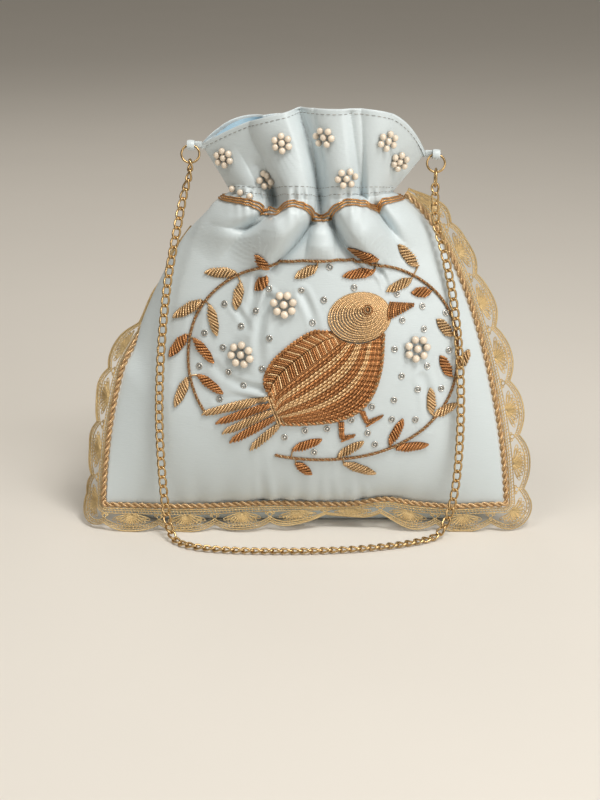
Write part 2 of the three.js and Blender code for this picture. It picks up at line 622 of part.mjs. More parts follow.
function clothLoop(middle, side) {
  const [inside, outside, half] = [LOOP_BORE, LOOP_BORE + LOOP_WALL, LOOP_LENGTH / 2];
  const profile = [
    [inside, -half], [outside, -half], [outside, half], [inside, half], [inside, -half],
  ].map(([radius, along]) => new THREE.Vector2(radius, along));
  const round = new THREE.LatheGeometry(profile, LOOP_SIDES).rotateZ(-Math.PI / 2);
  const length = LOOP_REACH - TRIM_GAP;
  const tongue = new THREE.BoxGeometry(length, LOOP_WALL, TONGUE_HEIGHT)
    .translate((-side * length) / 2, LOOP_FORWARD, 0);
  return fuse([round, tongue])
    .applyQuaternion(new THREE.Quaternion().setFromUnitVectors(at(1, 0, 0), SWING_AXIS))
    .translate(middle.x, middle.y, middle.z);
}
addPiece("left_loop", clothLoop(LEFT_LOOP, -1), SATIN);
addPiece("right_loop", clothLoop(RIGHT_LOOP, 1), SATIN);

const RING_STEPS = 9;
const WIRE_SIDES = 4;
const LINK_SIDES = 3;

function wireRing(middle, across, down) {
  const points = Array.from({ length: RING_STEPS }, (_, i) => {
    const angle = (2 * Math.PI * i) / RING_STEPS;
    return middle.clone()
      .addScaledVector(across, RING_RADIUS * Math.sin(angle))
      .addScaledVector(down, -RING_RADIUS * Math.cos(angle));
  });
  return tube(points, WIRE_RADIUS, WIRE_SIDES, { closed: true, up: () => across.clone().cross(down) });
}
const RING_STEP = 2 * RING_RADIUS - 2 * WIRE_RADIUS - LINK_FREE; // between two linked rings
const ACROSS = SWING_AXIS.clone().cross(HANG);
const leftRing = LEFT_LOOP.clone().addScaledVector(HANG, RING_RADIUS);
const rightRing = RIGHT_LOOP.clone().addScaledVector(HANG, RING_RADIUS);
const rightLink = rightRing.clone().addScaledVector(HANG, RING_STEP);
addPiece("left_ring", wireRing(leftRing, SWING_AXIS, HANG), GOLD);
addPiece("right_ring_upper", wireRing(rightRing, SWING_AXIS, HANG), GOLD);
addPiece("right_ring_lower", wireRing(rightLink, ACROSS, HANG), GOLD);

// Route of the chain: down over the belly, along the surface in front of the bag and up again.
const caster = new THREE.Raycaster();
frontPanel.updateMatrixWorld(true);

function clothAt(x, z) {
  caster.set(at(x, -2 * BASE_WIDTH, z), at(0, 1, 0));
  return caster.intersectObject(frontPanel)[0];
}

function overCloth(x, y, z) {
  const hit = clothAt(x, z);
  return at(x, hit ? Math.min(y, hit.point.y - CHAIN_CLEAR) : y, z);
}
const inRing = (ring, below) =>
  ring.clone().addScaledVector(HANG, RING_RADIUS - 2 * WIRE_RADIUS - LINK_FREE + below);
const ROUTE = [
  inRing(leftRing, 0),
  inRing(leftRing, LINK_LENGTH),
  overCloth(-65, -9, 184),
  overCloth(-69, -14, 165),
  overCloth(-73.5, -19, 142),
  overCloth(-76.5, -25, 118),
  overCloth(-78.5, -31, 92),
  overCloth(-79.3, -35, 64),
  overCloth(-78.5, -37, 36),
  overCloth(-77, -39.5, 18),
  at(-75, -44, 7),
  at(-71, -52, FLOOR_LIE),
  at(-62, -60, FLOOR_LIE),
  at(-45, -65, FLOOR_LIE),
  at(-3, -67, FLOOR_LIE),
  at(34, -63, FLOOR_LIE),
  at(62, -54, FLOOR_LIE),
  at(73, -47, FLOOR_LIE + 1),
  at(79, -42, 11),
  overCloth(82.5, -39, 26),
  overCloth(84.5, -36, 50),
  overCloth(84.7, -33, 77),
  overCloth(83.3, -27, 104),
  overCloth(80, -20, 130),
  overCloth(75, -16, 154),
  overCloth(70.5, -11, 170),
  inRing(rightLink, LINK_LENGTH),
  inRing(rightLink, 0),
];
const chainPath = new THREE.CatmullRomCurve3(ROUTE, false, "centripetal");
const PATH_DIVISIONS = 2000;
chainPath.arcLengthDivisions = PATH_DIVISIONS;
const CHAIN_RUN = chainPath.getLength();
const ROLL_OUT = 40; // the chain turns to lie flat within this distance of its rings
const ROLL_LEFT = 1.2; // radians by which the first link is turned out of the chain's plane
const ROLL_RIGHT = 0.3;
const STRETCHES = [
  ["chain_left_upper", 0.19],
  ["chain_left_lower", 0.33],
  ["chain_front_left", 0.5],
  ["chain_front_right", 0.67],
  ["chain_right_lower", 0.82],
  ["chain_right_upper", 1],
]; // names, and where each ends along the chain

// One curb link: six triangular sections round a twisted oval, each with its flat side inwards.
const LINK_OUTLINE = [[1, 0.55], [0, 1], [-1, 0.55], [-1, -0.55], [0, -1], [1, -0.55]];
const LAST_BAR = 2; // the section from which the bar runs that bears on the link before
const NEXT_BAR = 5; // and on the link after
const INNER_SIDE = 1;
const LINK_HALF = LINK_LENGTH / 2 - WIRE_RADIUS;
const LINK_WIDE = LINK_WIDTH / 2 - WIRE_RADIUS;

function linkRings(run) {
  const middle = chainPath.getPointAt(run / CHAIN_RUN);
  const along = chainPath.getTangentAt(run / CHAIN_RUN);
  const lying = 1 - smooth(4, 14, middle.z);
  const face = at(0, lying - 1, lying);
  face.addScaledVector(along, -face.dot(along)).normalize();
  const left = ROLL_LEFT * (1 - smooth(0, ROLL_OUT, run));
  const right = ROLL_RIGHT * (1 - smooth(0, ROLL_OUT, CHAIN_RUN - run));
  face.applyAxisAngle(along, left + right);
  const side = along.clone().cross(face);
  const points = LINK_OUTLINE.map(([s, w]) => {
    const turn = LINK_TWIST * s;
    return middle.clone()
      .addScaledVector(along, s * LINK_HALF)
      .addScaledVector(side, w * LINK_WIDE * Math.cos(turn))
      .addScaledVector(face, w * LINK_WIDE * Math.sin(turn));
  });
  return barRings(points, WIRE_RADIUS, LINK_SIDES, true, (point) => point.clone().sub(middle));
}

// Links of one stretch are welded where their bars bear on each other.
function weldedLinks(runs) {
  const points = [];
  const index = [];
  const corner = (link, ring, side) => (link * LINK_OUTLINE.length + ring) * LINK_SIDES + side;
  const bar = (link, ring) => {
    const far = (ring + 1) % LINK_OUTLINE.length;
    const next = INNER_SIDE + 1;
    return [[ring, INNER_SIDE], [ring, next], [far, next], [far, INNER_SIDE]].map((c) => corner(link, ...c));
  };
  const weld = (a, b) => {
    const pull = (turn) => a.reduce((sum, p, i) => sum + points[p].distanceTo(points[b[(turn + 4 - i) % 4]]), 0);
    const turn = [0, 1, 2, 3].reduce((best, next) => (pull(next) < pull(best) ? next : best));
    a.forEach((p, i) => {
      const [q, r, t] = [a[(i + 1) % 4], b[(turn + 3 - i) % 4], b[(turn + 4 - i) % 4]];
      index.push(p, q, r, p, r, t);
    });
  };
  runs.forEach((run, link) => {
    points.push(...linkRings(run).flat());
    for (let ring = 0; ring < LINK_OUTLINE.length; ring++) {
      for (let side = 0; side < LINK_SIDES; side++) {
        const bears = (ring === NEXT_BAR && link < runs.length - 1) || (ring === LAST_BAR && link > 0);
        if (bears && side === INNER_SIDE) continue;
        const far = (ring + 1) % LINK_OUTLINE.length;
        const next = (side + 1) % LINK_SIDES;
        const [a, b] = [corner(link, ring, side), corner(link, ring, next)];
        const [c, d] = [corner(link, far, next), corner(link, far, side)];
        index.push(a, b, c, a, c, d);
      }
    }
    if (link > 0) weld(bar(link - 1, NEXT_BAR), bar(link, LAST_BAR));
  });
  const geometry = new THREE.BufferGeometry().setFromPoints(points);
  geometry.setIndex(index);
  geometry.computeVertexNormals();
  return geometry;
}

function buildChain() {
  const between = (gap) => 2 * LINK_HALF - WIRE_RADIUS - gap; // the bars' flat sides are this far apart
  const welded = between(LINK_WELD);
  const free = between(LINK_FREE);
  const span = CHAIN_RUN - 2 * LINK_HALF;
  const count = Math.round((span - (STRETCHES.length - 1) * (free - welded)) / welded) + 1;
  const stretchOf = (i) => STRETCHES.findIndex(([, end]) => (i + 1) / count <= end + 1e-6);
  const places = [0];
  for (let i = 1; i < count; i++) places.push(places[i - 1] + (stretchOf(i) === stretchOf(i - 1) ? welded : free));
  const ease = span / places.at(-1);
  STRETCHES.forEach(([name], which) => {
    const runs = places.filter((_, i) => stretchOf(i) === which).map((place) => LINK_HALF + place * ease);
    addPiece(name, weldedLinks(runs), GOLD);
  });
}
buildChain();

// Metal-thread embroidery, laid over the front: every point is dropped onto the cloth.
// A stiff piece rides on the crests within its reach.
const STITCH_REACH = 1.2;
const FOLD_REACH = 4.2; // for a piece that bridges a fold
const AROUND = [[0, 0], [1, 0], [-1, 0], [0, 1], [0, -1], [0.5, 0], [-0.5, 0]];

function onCloth(x, z, height, reach = STITCH_REACH) {
  const crest = Math.min(...AROUND.map(([dx, dz]) => clothAt(x + dx * reach, z + dz * reach)?.point.y ?? 0));
  return at(x, crest - STITCH_GAP - height, z);
}

// A pointed stitch from one end to the other: half-widths are given along its length.
function spindle([x0, z0], [x1, z1], widths, reach) {
  const length = Math.hypot(x1 - x0, z1 - z0);
  const [sideX, sideZ] = [-(z1 - z0) / length, (x1 - x0) / length];
  const rings = widths.map(([share, half]) => {
    const [x, z] = [mix(x0, x1, share), mix(z0, z1, share)];
    return [
      onCloth(x, z, STITCH_HEIGHT, reach),
      onCloth(x + sideX * half, z + sideZ * half, STITCH_EDGE, reach),
      onCloth(x, z, 0, reach),
      onCloth(x - sideX * half, z - sideZ * half, STITCH_EDGE, reach),
    ];
  });
  const points = [onCloth(x0, z0, STITCH_EDGE, reach), ...rings.flat(), onCloth(x1, z1, STITCH_EDGE, reach)];
  const tip = points.length - 1;
  const index = [];
  for (let k = 0; k < 4; k++) {
    const next = (k + 1) % 4;
    index.push(0, 1 + k, 1 + next);
    for (let i = 0; i < rings.length - 1; i++) {
      const [a, b] = [1 + i * 4, 5 + i * 4];
      index.push(a + k, b + k, b + next, a + k, b + next, a + next);
    }
    index.push(tip, tip - 4 + next, tip - 4 + k);
  }
  const geometry = new THREE.BufferGeometry().setFromPoints(points);
  geometry.setIndex(index);
  geometry.computeVertexNormals();
  return geometry;
}

// A domed pad whose rings run out from a middle to an edge; edge(angle) gives the half-size there.
function pad(x, z, count, rise, edge, reach) {
  const angles = Array.from({ length: count }, (_, i) => (2 * Math.PI * i) / count);
  const ring = (share, height) =>
    angles.map((angle) => {
      const [across, up] = edge(angle);
      return onCloth(x + across * share, z + up * share, height, reach);
    });
  const face = (height) => rise.map((_, i) => ring(1 - i / (rise.length - 1), height(i)));
  return sheet(face((i) => rise[i]), face(() => 0), { wrap: true });
}

const wreath = (degrees) => {
  const angle = THREE.MathUtils.degToRad(degrees);
  const square = (share) => Math.sign(share) * Math.abs(share) ** (2 / WREATH_SQUARE);
  return [
    WREATH_X + WREATH_HALF_WIDTH * square(Math.cos(angle)),
    WREATH_Z + WREATH_HALF_HEIGHT * square(Math.sin(angle)),
  ];
};
const wreathOut = (degrees) => {
  const [[x0, z0], [x1, z1]] = [wreath(degrees - 1), wreath(degrees + 1)];
  const length = Math.hypot(x1 - x0, z1 - z0);
  return [(z1 - z0) / length, (x0 - x1) / length];
};
const WREATH_START = 212; // degrees: the stem runs clockwise from above the bird's tail
const WREATH_END = -109; // to below it
const WREATH_STEPS = 38;
const stemAt = (i) => {
  const [x, z] = wreath(mix(WREATH_START, WREATH_END, i / WREATH_STEPS));
  return onCloth(x, z, STEM_RADIUS, STEM_RADIUS);
};
const stemPoints = Array.from({ length: WREATH_STEPS + 1 }, (_, i) => {
  const point = stemAt(i);
  point.y = Math.min(...[-0.75, -0.4, 0, 0.4, 0.75].map((near) => stemAt(i + near).y));
  return point;
}); // the stem rides over the crests of the folds that it crosses
addPiece("wreath_stem", tube(stemPoints, STEM_RADIUS, 3), GOLD);

// Leaves: degrees along the stem, distance out from it, run to the tip, and the metal.
const leaf = (degrees, away, run, metal, reach = STITCH_REACH) => ({ degrees, away, run, metal, reach });
const LEAVES = [
  leaf(127, 1.6, [-17, -2], GOLD),
  leaf(127, -3.9, [-3, -15], GOLD),
  leaf(150, 1.6, [-16, -11], GOLD),
  leaf(149, -2.9, [4, -16], GOLD),
  leaf(170, 2, [-9.5, -13], COPPER),
  leaf(171, -2.3, [11, -12], COPPER),
  leaf(190, 1.6, [-7, -16], GOLD),
  leaf(189, -4.2, [14, -9], COPPER),
  leaf(92, -3, [-12, -6.5], GOLD),
  leaf(70, 3, [-15, 6], COPPER, FOLD_REACH),
  leaf(70, -3.7, [-17, -2], COPPER, FOLD_REACH),
  leaf(51, 4.7, [-11, 12.5], GOLD),
  leaf(51, -1.8, [-14, -5], GOLD),
  leaf(38, -1.6, [-11, 1], COPPER),
  leaf(9, -2.3, [-9, 10], GOLD),
  leaf(-11, -2.4, [-6.5, 12], COPPER),
  leaf(-35, -2.5, [-1, 15], GOLD),
  leaf(-62, -1.8, [7, 15], COPPER),
  leaf(-60, 1.8, [18, 1.5], COPPER),
  leaf(-85, -1.6, [14, 9], GOLD),
  leaf(-83, 2.9, [18, -7], GOLD),
  leaf(-102, -4.9, [16, 6.5], COPPER),
  leaf(-100, 2.9, [9, -7], COPPER),
];
const LEAF_SHAPE = [[0.3, LEAF_HALF], [0.7, LEAF_HALF * 0.85]];
LEAVES.forEach(({ degrees, away, run, metal, reach }, i) => {
  const [x, z] = wreath(degrees);
  const [outX, outZ] = wreathOut(degrees);
  const base = [x + outX * away, z + outZ * away];
  const tip = [base[0] + run[0], base[1] + run[1]];
  addPiece(`leaf_${String(i + 1).padStart(2, "0")}`, spindle(base, tip, LEAF_SHAPE, reach), metal);
});

// The bird: body, head, beak, five tail feathers and two legs.
// Body stations run from the tail to the neck; each spans the wing's edge and the breast.
const BODY_STATIONS = [
  [[-18, 81], [-12.5, 66]],
  [[-21.5, 89], [0, 66]],
  [[-18, 99], [17, 68]],
  [[-10.5, 107], [28.5, 73]],
  [[-2.5, 113.2], [36.5, 81]],
  [[4.5, 117], [41.5, 93]],
  [[11.5, 117], [43, 110]],
];
const BODY_ACROSS = 4;
const BODY_CROWN = 1.4;
const NAPE_SAG = 5; // the body ends in a hollow curve under the head

function birdBody() {
  const grid = (height) =>
    BODY_STATIONS.map(([wing, breast], i) =>
      Array.from({ length: BODY_ACROSS + 1 }, (_, j) => {
        const share = j / BODY_ACROSS;
        const middle = 4 * share * (1 - share);
        const sag = NAPE_SAG * middle * smooth(0.5, 1, i / (BODY_STATIONS.length - 1));
        return onCloth(mix(wing[0], breast[0], share), mix(wing[1], breast[1], share) - sag, height(middle));
      }));
  return sheet(grid((crown) => STITCH_EDGE + BODY_CROWN * crown), grid(() => 0));
}
addPiece("bird_body", birdBody(), COPPER);

const HEAD = { x: 29, z: 124, halfWidth: 16.5, halfHeight: 13, sides: 10 };
addPiece(
  "bird_head",
  pad(HEAD.x, HEAD.z, HEAD.sides, [STITCH_HEIGHT + STITCH_EDGE, STITCH_HEIGHT, STITCH_EDGE], (angle) => [
    HEAD.halfWidth * Math.cos(angle),
    HEAD.halfHeight * Math.sin(angle),
  ]),
  GOLD,
);
const BEAK_SHAPE = [[0.12, 3.9], [0.55, 2.1]];
addPiece("bird_beak", spindle([46.3, 126.6], [59, 128.3], BEAK_SHAPE), COPPER);
const FEATHERS = [
  [[-19.2, 80.5], [-56, 69]],
  [[-17.8, 77], [-48.5, 64.5]],
  [[-16.4, 73.6], [-45, 59]],
  [[-15, 70.2], [-41, 54]],
  [[-13.4, 66], [-30, 50]],
];
const FEATHER_SHAPE = [[0.15, 1.2], [0.5, 1.9], [0.85, 1.6]];
FEATHERS.forEach(([root, tip], i) => {
  addPiece(`tail_feather_${i + 1}`, spindle(root, tip, FEATHER_SHAPE), i % 2 ? COPPER : GOLD);
});
const LEGS = [
  [[19.5, 66.5], [20, 57.5], [27, 59]],
  [[30.5, 72.5], [33.5, 66], [42, 69.5]],
];
LEGS.forEach((points, i) => {
  const bar = points.map(([x, z]) => onCloth(x, z, STEM_RADIUS));
  addPiece(`bird_leg_${i + 1}`, tube(bar, STEM_RADIUS, 3), COPPER);
});

// Pearl flowers: six pearls round a seventh, three in the wreath and six on the frill.
const FLOWER_COUNT = 6;
const frillPlace = (u, v) => {
  const { x, z } = plainPoint(FRONT, u, v);
  return [x, z];
};
const FRILL_PEARL = PEARL * 0.85;
const FLOWERS = [
  { place: [-11, 131], pearl: PEARL, reach: STITCH_REACH },
  { place: [-34, 103], pearl: PEARL, reach: STITCH_REACH },
  { place: [60, 105], pearl: PEARL, reach: STITCH_REACH },
  { place: frillPlace(-0.88, 1.66), pearl: FRILL_PEARL, reach: STITCH_REACH },
  { place: frillPlace(-0.3, 1.67), pearl: FRILL_PEARL, reach: FOLD_REACH },
  { place: frillPlace(0.11, 1.7), pearl: FRILL_PEARL, reach: FOLD_REACH },
  { place: frillPlace(0.37, 1.24), pearl: FRILL_PEARL, reach: FOLD_REACH },
  { place: frillPlace(0.7, 1.73), pearl: FRILL_PEARL, reach: FOLD_REACH },
  { place: frillPlace(0.87, 1.58), pearl: FRILL_PEARL, reach: STITCH_REACH },
];
FLOWERS.forEach(({ place, pearl, reach }, i) => {
  const petals = (angle) => {
    const reach = pearl * (2.55 + 0.55 * Math.cos(FLOWER_COUNT * angle));
    return [reach * Math.cos(angle), reach * Math.sin(angle)];
  };
  const geometry = pad(...place, 2 * FLOWER_COUNT, [pearl * 1.4, pearl * 0.5], petals, reach);
  addPiece(`pearl_flower_${i + 1}`, geometry, PEARLS);
});

export default potli;
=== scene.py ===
import math

import bpy
import numpy as np
from bpy.props import FloatProperty, FloatVectorProperty, IntProperty, PointerProperty
from bpy.types import Operator, Panel, PropertyGroup
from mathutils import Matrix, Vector
from mathutils.bvhtree import BVHTree


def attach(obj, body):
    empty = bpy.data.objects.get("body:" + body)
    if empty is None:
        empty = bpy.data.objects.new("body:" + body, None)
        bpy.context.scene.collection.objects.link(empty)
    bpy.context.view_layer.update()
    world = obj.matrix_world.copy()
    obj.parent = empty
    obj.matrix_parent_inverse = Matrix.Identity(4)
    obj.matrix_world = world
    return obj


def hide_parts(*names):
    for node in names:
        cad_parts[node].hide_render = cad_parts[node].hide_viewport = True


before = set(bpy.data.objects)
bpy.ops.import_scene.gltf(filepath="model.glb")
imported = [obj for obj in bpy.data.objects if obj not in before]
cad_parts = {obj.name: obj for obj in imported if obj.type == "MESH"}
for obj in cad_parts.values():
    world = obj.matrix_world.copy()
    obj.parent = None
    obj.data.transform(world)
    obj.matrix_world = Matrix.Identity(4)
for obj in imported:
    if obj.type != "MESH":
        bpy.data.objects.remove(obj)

bl_info = {
    "name": "Potli Bag",
    "version": (1, 0, 0),
    "blender": (4, 5, 0),
    "location": "View3D > Sidebar > Potli",
    "description": "Dresses the potli bag's solids in satin, lace, chain and metal-thread embroidery",
    "category": "Object",
}

MM = 0.001  # shapes are worked out in millimetres, +Z up and front towards -Y
SEED = 11
BAG, CHAIN = "bag", "chain"
OUT = np.array((0.0, -1.0, 0.0))  # out of the bag's front

# Body of the pouch
BASE_HALF = 110.5
SEAM_HEIGHT = 14
SEAM_FORWARD = 26
BELLY_FRONT = 54
BELLY_BACK = 46
BELLY_HEIGHT = 36
SIDE_BULGE, SIDE_BULGE_HEIGHT = 106, 100
SHOULDER_HALF, SHOULDER_HEIGHT = 72, 172
BASE_FLAT_FRONT, BASE_FLAT_BACK = 16, 20
SEAM_GAP = 0.4

# Neck and frill
NECK_HALF = 44
NECK_DEPTH = 42
NECK_HEIGHT = 184
NECK_SHIFT = 3.6
MOUTH_HALF = 60
MOUTH_DEPTH = 38
MOUTH_SHIFT = 4.6
FRILL_FLARE = 6
CORNER_HEIGHT, CORNER_TILT = 207.3, 2.3
RIM_FRONT, RIM_BACK, RIM_SKEW = 232, 222, 0.25
GATHER_RISE = 0.3  # a fold that stands out also stands up, by this share

# The left seam is rolled to the back below the shoulder
SEAM_ROLL = (0.3, 0.46, 0.72, 0.9)
ROLL_BACK, ROLL_IN, ROLL_OVER, ROLL_SPAN = 12, 7, 14, 0.45

SIDE_BODY = [
    (BASE_HALF, -SEAM_FORWARD, SEAM_HEIGHT),
    (SIDE_BULGE, -0.8 * SEAM_FORWARD, SIDE_BULGE_HEIGHT),
    (SHOULDER_HALF, 0, SHOULDER_HEIGHT),
    (NECK_HALF, 0, NECK_HEIGHT),
]
SIDE_FRILL = [
    (NECK_HALF, 0, NECK_HEIGHT),
    (NECK_HALF + FRILL_FLARE, 0, 0.6 * NECK_HEIGHT + 0.4 * CORNER_HEIGHT),
    (MOUTH_HALF, 0, CORNER_HEIGHT),
]
FRONT_BODY = [
    (-SEAM_FORWARD, SEAM_HEIGHT),
    (-BELLY_FRONT, BELLY_HEIGHT),
    (-0.8 * BELLY_FRONT, 0.2 * SEAM_HEIGHT + 0.8 * NECK_HEIGHT),
    (-NECK_DEPTH / 2, NECK_HEIGHT),
]
FRONT_FRILL = [(-NECK_DEPTH / 2, NECK_HEIGHT), (-MOUTH_DEPTH / 2, RIM_FRONT)]
UNDER_ROLL = [(-SEAM_FORWARD, SEAM_HEIGHT), (2 - SEAM_FORWARD, 0), (-BASE_FLAT_FRONT, 0)]
UNDER_FLAT = [(-BASE_FLAT_FRONT, 0), (BASE_FLAT_BACK, 0)]
BACK_BODY = [
    (BASE_FLAT_BACK, 0),
    (BELLY_BACK, 0),
    (0.9 * BELLY_BACK, 0.8 * NECK_HEIGHT),
    (NECK_DEPTH / 2, NECK_HEIGHT),
]
BACK_FRILL = [(NECK_DEPTH / 2, NECK_HEIGHT), (MOUTH_DEPTH / 2, RIM_BACK)]
ROLL_END, FLAT_END, CORNER_SHARE = 0.1, 0.3, 0.06  # shares of the back panel's rise

# Gathers: start, middle and end as offsets from the middle of the neck, widths and lifts.
FRONT_FOLDS = [
    ((-10.5, -8), (-19, -17), (-43, -34), (10, 14), (15, 0)),  # left tube
    ((22, -8), (27, -20), (48, -34), (11, 14), (15, 0)),  # right tube
    ((-38, -5), (-54, -14), (-66, -28), (12, 17), (8, 0)),  # left shoulder
    ((42, -5), (54, -14), (68, -29), (9, 17), (7, 0)),  # right shoulder
    ((5, -18), (5, -25), (4, -34), (7, 9), (6, 0)),  # between the tubes
    ((-23, -8), (-33, -18), (-54, -16), (5, 6), (-8, -1)),  # creases beside the tubes
    ((0, -10), (-9, -21), (-21, -34), (5, 6), (-8, -3)),
    ((11, -10), (18, -27), (36, -35), (5, 6), (-8, -3)),
    ((34, -4), (41, -16), (53, -27), (5, 6), (-8, -1)),
    ((5, -7), (2, 22), (-7, 46), (6, 8), (-9, -10)),  # frill: fold down the middle
    ((-9, -2), (-9, 18), (-18, 38), (11, 15), (10, 6)),  # frill: left lobe
    ((17, -2), (18, 22), (14, 47), (9, 13), (8, 5)),  # frill: right lobe
    ((34, -2), (35, 21), (33, 46), (8, 9), (6, 4)),  # frill: second right lobe
    ((-36, 0), (-42, 12), (-50, 22), (9, 10), (3, 0)),  # frill: outer left lobe
    ((-19, -4), (-19, 7), (-29, 17), (7, 7), (-13, -2)),  # frill: pocket on the left
    ((26, 0), (24, 20), (20, 46), (5, 6), (-5, -3)),
]
BACK_FOLDS = [
    fold
    for place in (-1.5, -0.5, 0.5, 1.5)
    for fold in (
        ((18 * place, -2), (26 * place, -18), (34 * place, -38), (9, 15), (7, 0)),
        ((18 * place, 2), (22 * place, 18), (26 * place, 38), (9, 12), (6, 5)),
    )
]
FOLD_SAMPLES = 40
DRAG_LINES = [  # small wrinkles that the stitching draws in the front, in the same way
    ((-29, -40), (-30, -54), (-37, -66), (7, 9), (-1.5, -0.4)),
    ((-23, -50), (-31, -68), (-27, -88), (8, 9), (-1.4, -0.5)),
    ((-41, -56), (-37, -61), (-33, -68), (6, 6), (-1, -0.3)),
    ((-52, -88), (-43, -99), (-26, -99), (8, 7), (-0.6, -1.3)),
    ((-51, -107), (-40, -102), (-28, -106), (7, 7), (-0.4, -1.1)),
    ((-5, -47), (0, -56), (2, -65), (7, 7), (-1.1, -0.4)),
    ((34, -34), (39, -40), (40, -45), (5, 5), (-1.6, -0.5)),
    ((-28, -136), (-27, -152), (-26, -170), (7, 9), (-0.1, -1.0)),
    ((9, -138), (10, -154), (11, -170), (7, 9), (-0.1, -1.0)),
    ((24, -142), (26, -156), (28, -170), (6, 8), (-0.1, -0.9)),
    ((60, -95), (66, -108), (64, -122), (8, 9), (-0.9, -0.3)),
    ((-62, -62), (-66, -80), (-72, -98), (9, 11), (-0.9, -0.3)),
]

# Wreath and bird, as x and z on the front
WREATH = {"x": 10, "z": 99.5, "half_width": 73, "half_height": 55, "square": 2.2, "start": 212, "end": -109}
GOLD, COPPER = "gold", "copper"
LEAVES = [
    (127, 1.6, (-17, -2), GOLD), (127, -3.9, (-3, -15), GOLD), (150, 1.6, (-16, -11), GOLD),
    (149, -2.9, (4, -16), GOLD), (170, 2, (-9.5, -13), COPPER), (171, -2.3, (11, -12), COPPER),
    (190, 1.6, (-7, -16), GOLD), (189, -4.2, (14, -9), COPPER), (92, -3, (-12, -6.5), GOLD),
    (70, 3, (-15, 6), COPPER), (70, -3.7, (-17, -2), COPPER), (51, 4.7, (-11, 12.5), GOLD),
    (51, -1.8, (-14, -5), GOLD), (38, -1.6, (-11, 1), COPPER), (9, -2.3, (-9, 10), GOLD),
    (-11, -2.4, (-6.5, 12), COPPER), (-35, -2.5, (-1, 15), GOLD), (-62, -1.8, (7, 15), COPPER),
    (-60, 1.8, (18, 1.5), COPPER), (-85, -1.6, (14, 9), GOLD), (-83, 2.9, (18, -7), GOLD),
    (-102, -4.9, (16, 6.5), COPPER), (-100, 2.9, (9, -7), COPPER),
]  # degrees along the stem, distance out from it, run to the tip, metal
FOLD_LEAVES = [
    ((-20, 149), (-26, 157), COPPER), ((-20, 145), (-26, 137), COPPER), ((84, 91), (89, 101), GOLD),
    ((70, 67), (83, 73), GOLD),
]  # leaves that lie in a fold or apart from the stem
LEAF_SHAPE = [(0, 0.8), (0.3, 2.9), (0.7, 2.5), (0.9, 1.2), (1, 0.3)]
FEATHER_SHAPE = [(0, 1.2), (0.15, 1.8), (0.5, 2.5), (0.85, 2), (1, 0.4)]
WING_EDGE = [(-18, 81), (-21.5, 89), (-18, 99), (-10.5, 107), (-2.5, 113.2), (4.5, 117), (11.5, 117)]
BREAST_EDGE = [(-12.5, 66), (0, 66), (17, 68), (28.5, 73), (36.5, 81), (41.5, 93), (43, 110)]
NAPE = (207, 318)  # angles round the head between which the body meets it
HEAD_MIDDLE, HEAD_HALF, EYE = (29, 124), (16.5, 13), (33, 128)
BEAK = [(45, 126.4), (59, 128.3)]
FEATHERS = [
    ((-19.2, 80.5), (-56, 69)), ((-17.8, 77), (-48.5, 64.5)), ((-16.4, 73.6), (-45, 59)),
    ((-15, 70.2), (-41, 54)), ((-13.4, 66), (-30, 50)),
]
LEGS = [((19.5, 66.5), (20, 57.5), (27, 59)), ((30.5, 72.5), (33.5, 66), (42, 69.5))]
WREATH_FLOWERS = [(-11, 131), (-34, 103), (60, 105)]
FRILL_FLOWERS = [(-0.88, 1.66), (-0.3, 1.67), (0.11, 1.7), (0.37, 1.24), (0.7, 1.73), (0.87, 1.58)]
FOLD_FLOWERS = [(-0.52, 1.25)]  # half hidden in the ruffle's pocket
NECK_PEARLS = [(-38, 187.5), (-33.5, 186.5), (-29.5, 184.5)]
SEQUINS = [
    (-43, 129), (-34, 118), (-26, 127), (-19, 139), (-2, 139), (-44, 106), (-19, 113), (-41, 93), (-23, 96),
    (-33, 86), (-46, 78), (-57, 95), (4, 122), (-54, 113), (13, 151), (10, 134), (26, 140), (49, 135),
    (52, 121), (63, 127), (64, 115), (76, 122), (78, 102), (48, 106), (66, 95), (52, 91), (61, 83), (74, 82),
    (48, 78), (47, 67), (60, 66), (38, 53), (36, 75), (25, 68), (34, 60), (12, 63), (0, 62), (-11, 58),
    (5, 49),
]

# Chain
CHAIN_CLEAR = 4.8
FLOOR_LIE = 1.9
LINK_LENGTH = 7.4
RING_RADIUS = 4.8
RING_WIRE = 0.62
RING_LEAN = 0.4
LOOP_BORE, LOOP_WALL, LOOP_LENGTH, LOOP_BULGE = 1.75, 0.8, 4, 0.3
STRIP_THICK, STRIP_WIDE = 0.45, 1.8  # half sizes of the strip from a loop to its corner
LINK_FREE = 0.5


# Small tools

def mix(a, b, share):
    return a + (b - a) * share


def smooth(low, high, x):
    share = np.clip((np.asarray(x, float) - low) / (high - low), 0, 1)
    return share * share * (3 - 2 * share)


def squared(s, power):
    """A sine or cosine that makes an oval squarer or more pointed."""
    return np.sign(s) * np.abs(s) ** power


def unit(v):
    return v / np.maximum(np.linalg.norm(v, axis=-1, keepdims=True), 1e-9)


def bezier(points, share):
    """A Bezier curve at one or many shares of its length."""
    share = np.asarray(share, float)[..., None]
    points = [np.asarray(p, float) + 0 * share for p in points]
    while len(points) > 1:
        points = [mix(a, b, share) for a, b in zip(points, points[1:])]
    return points[0]


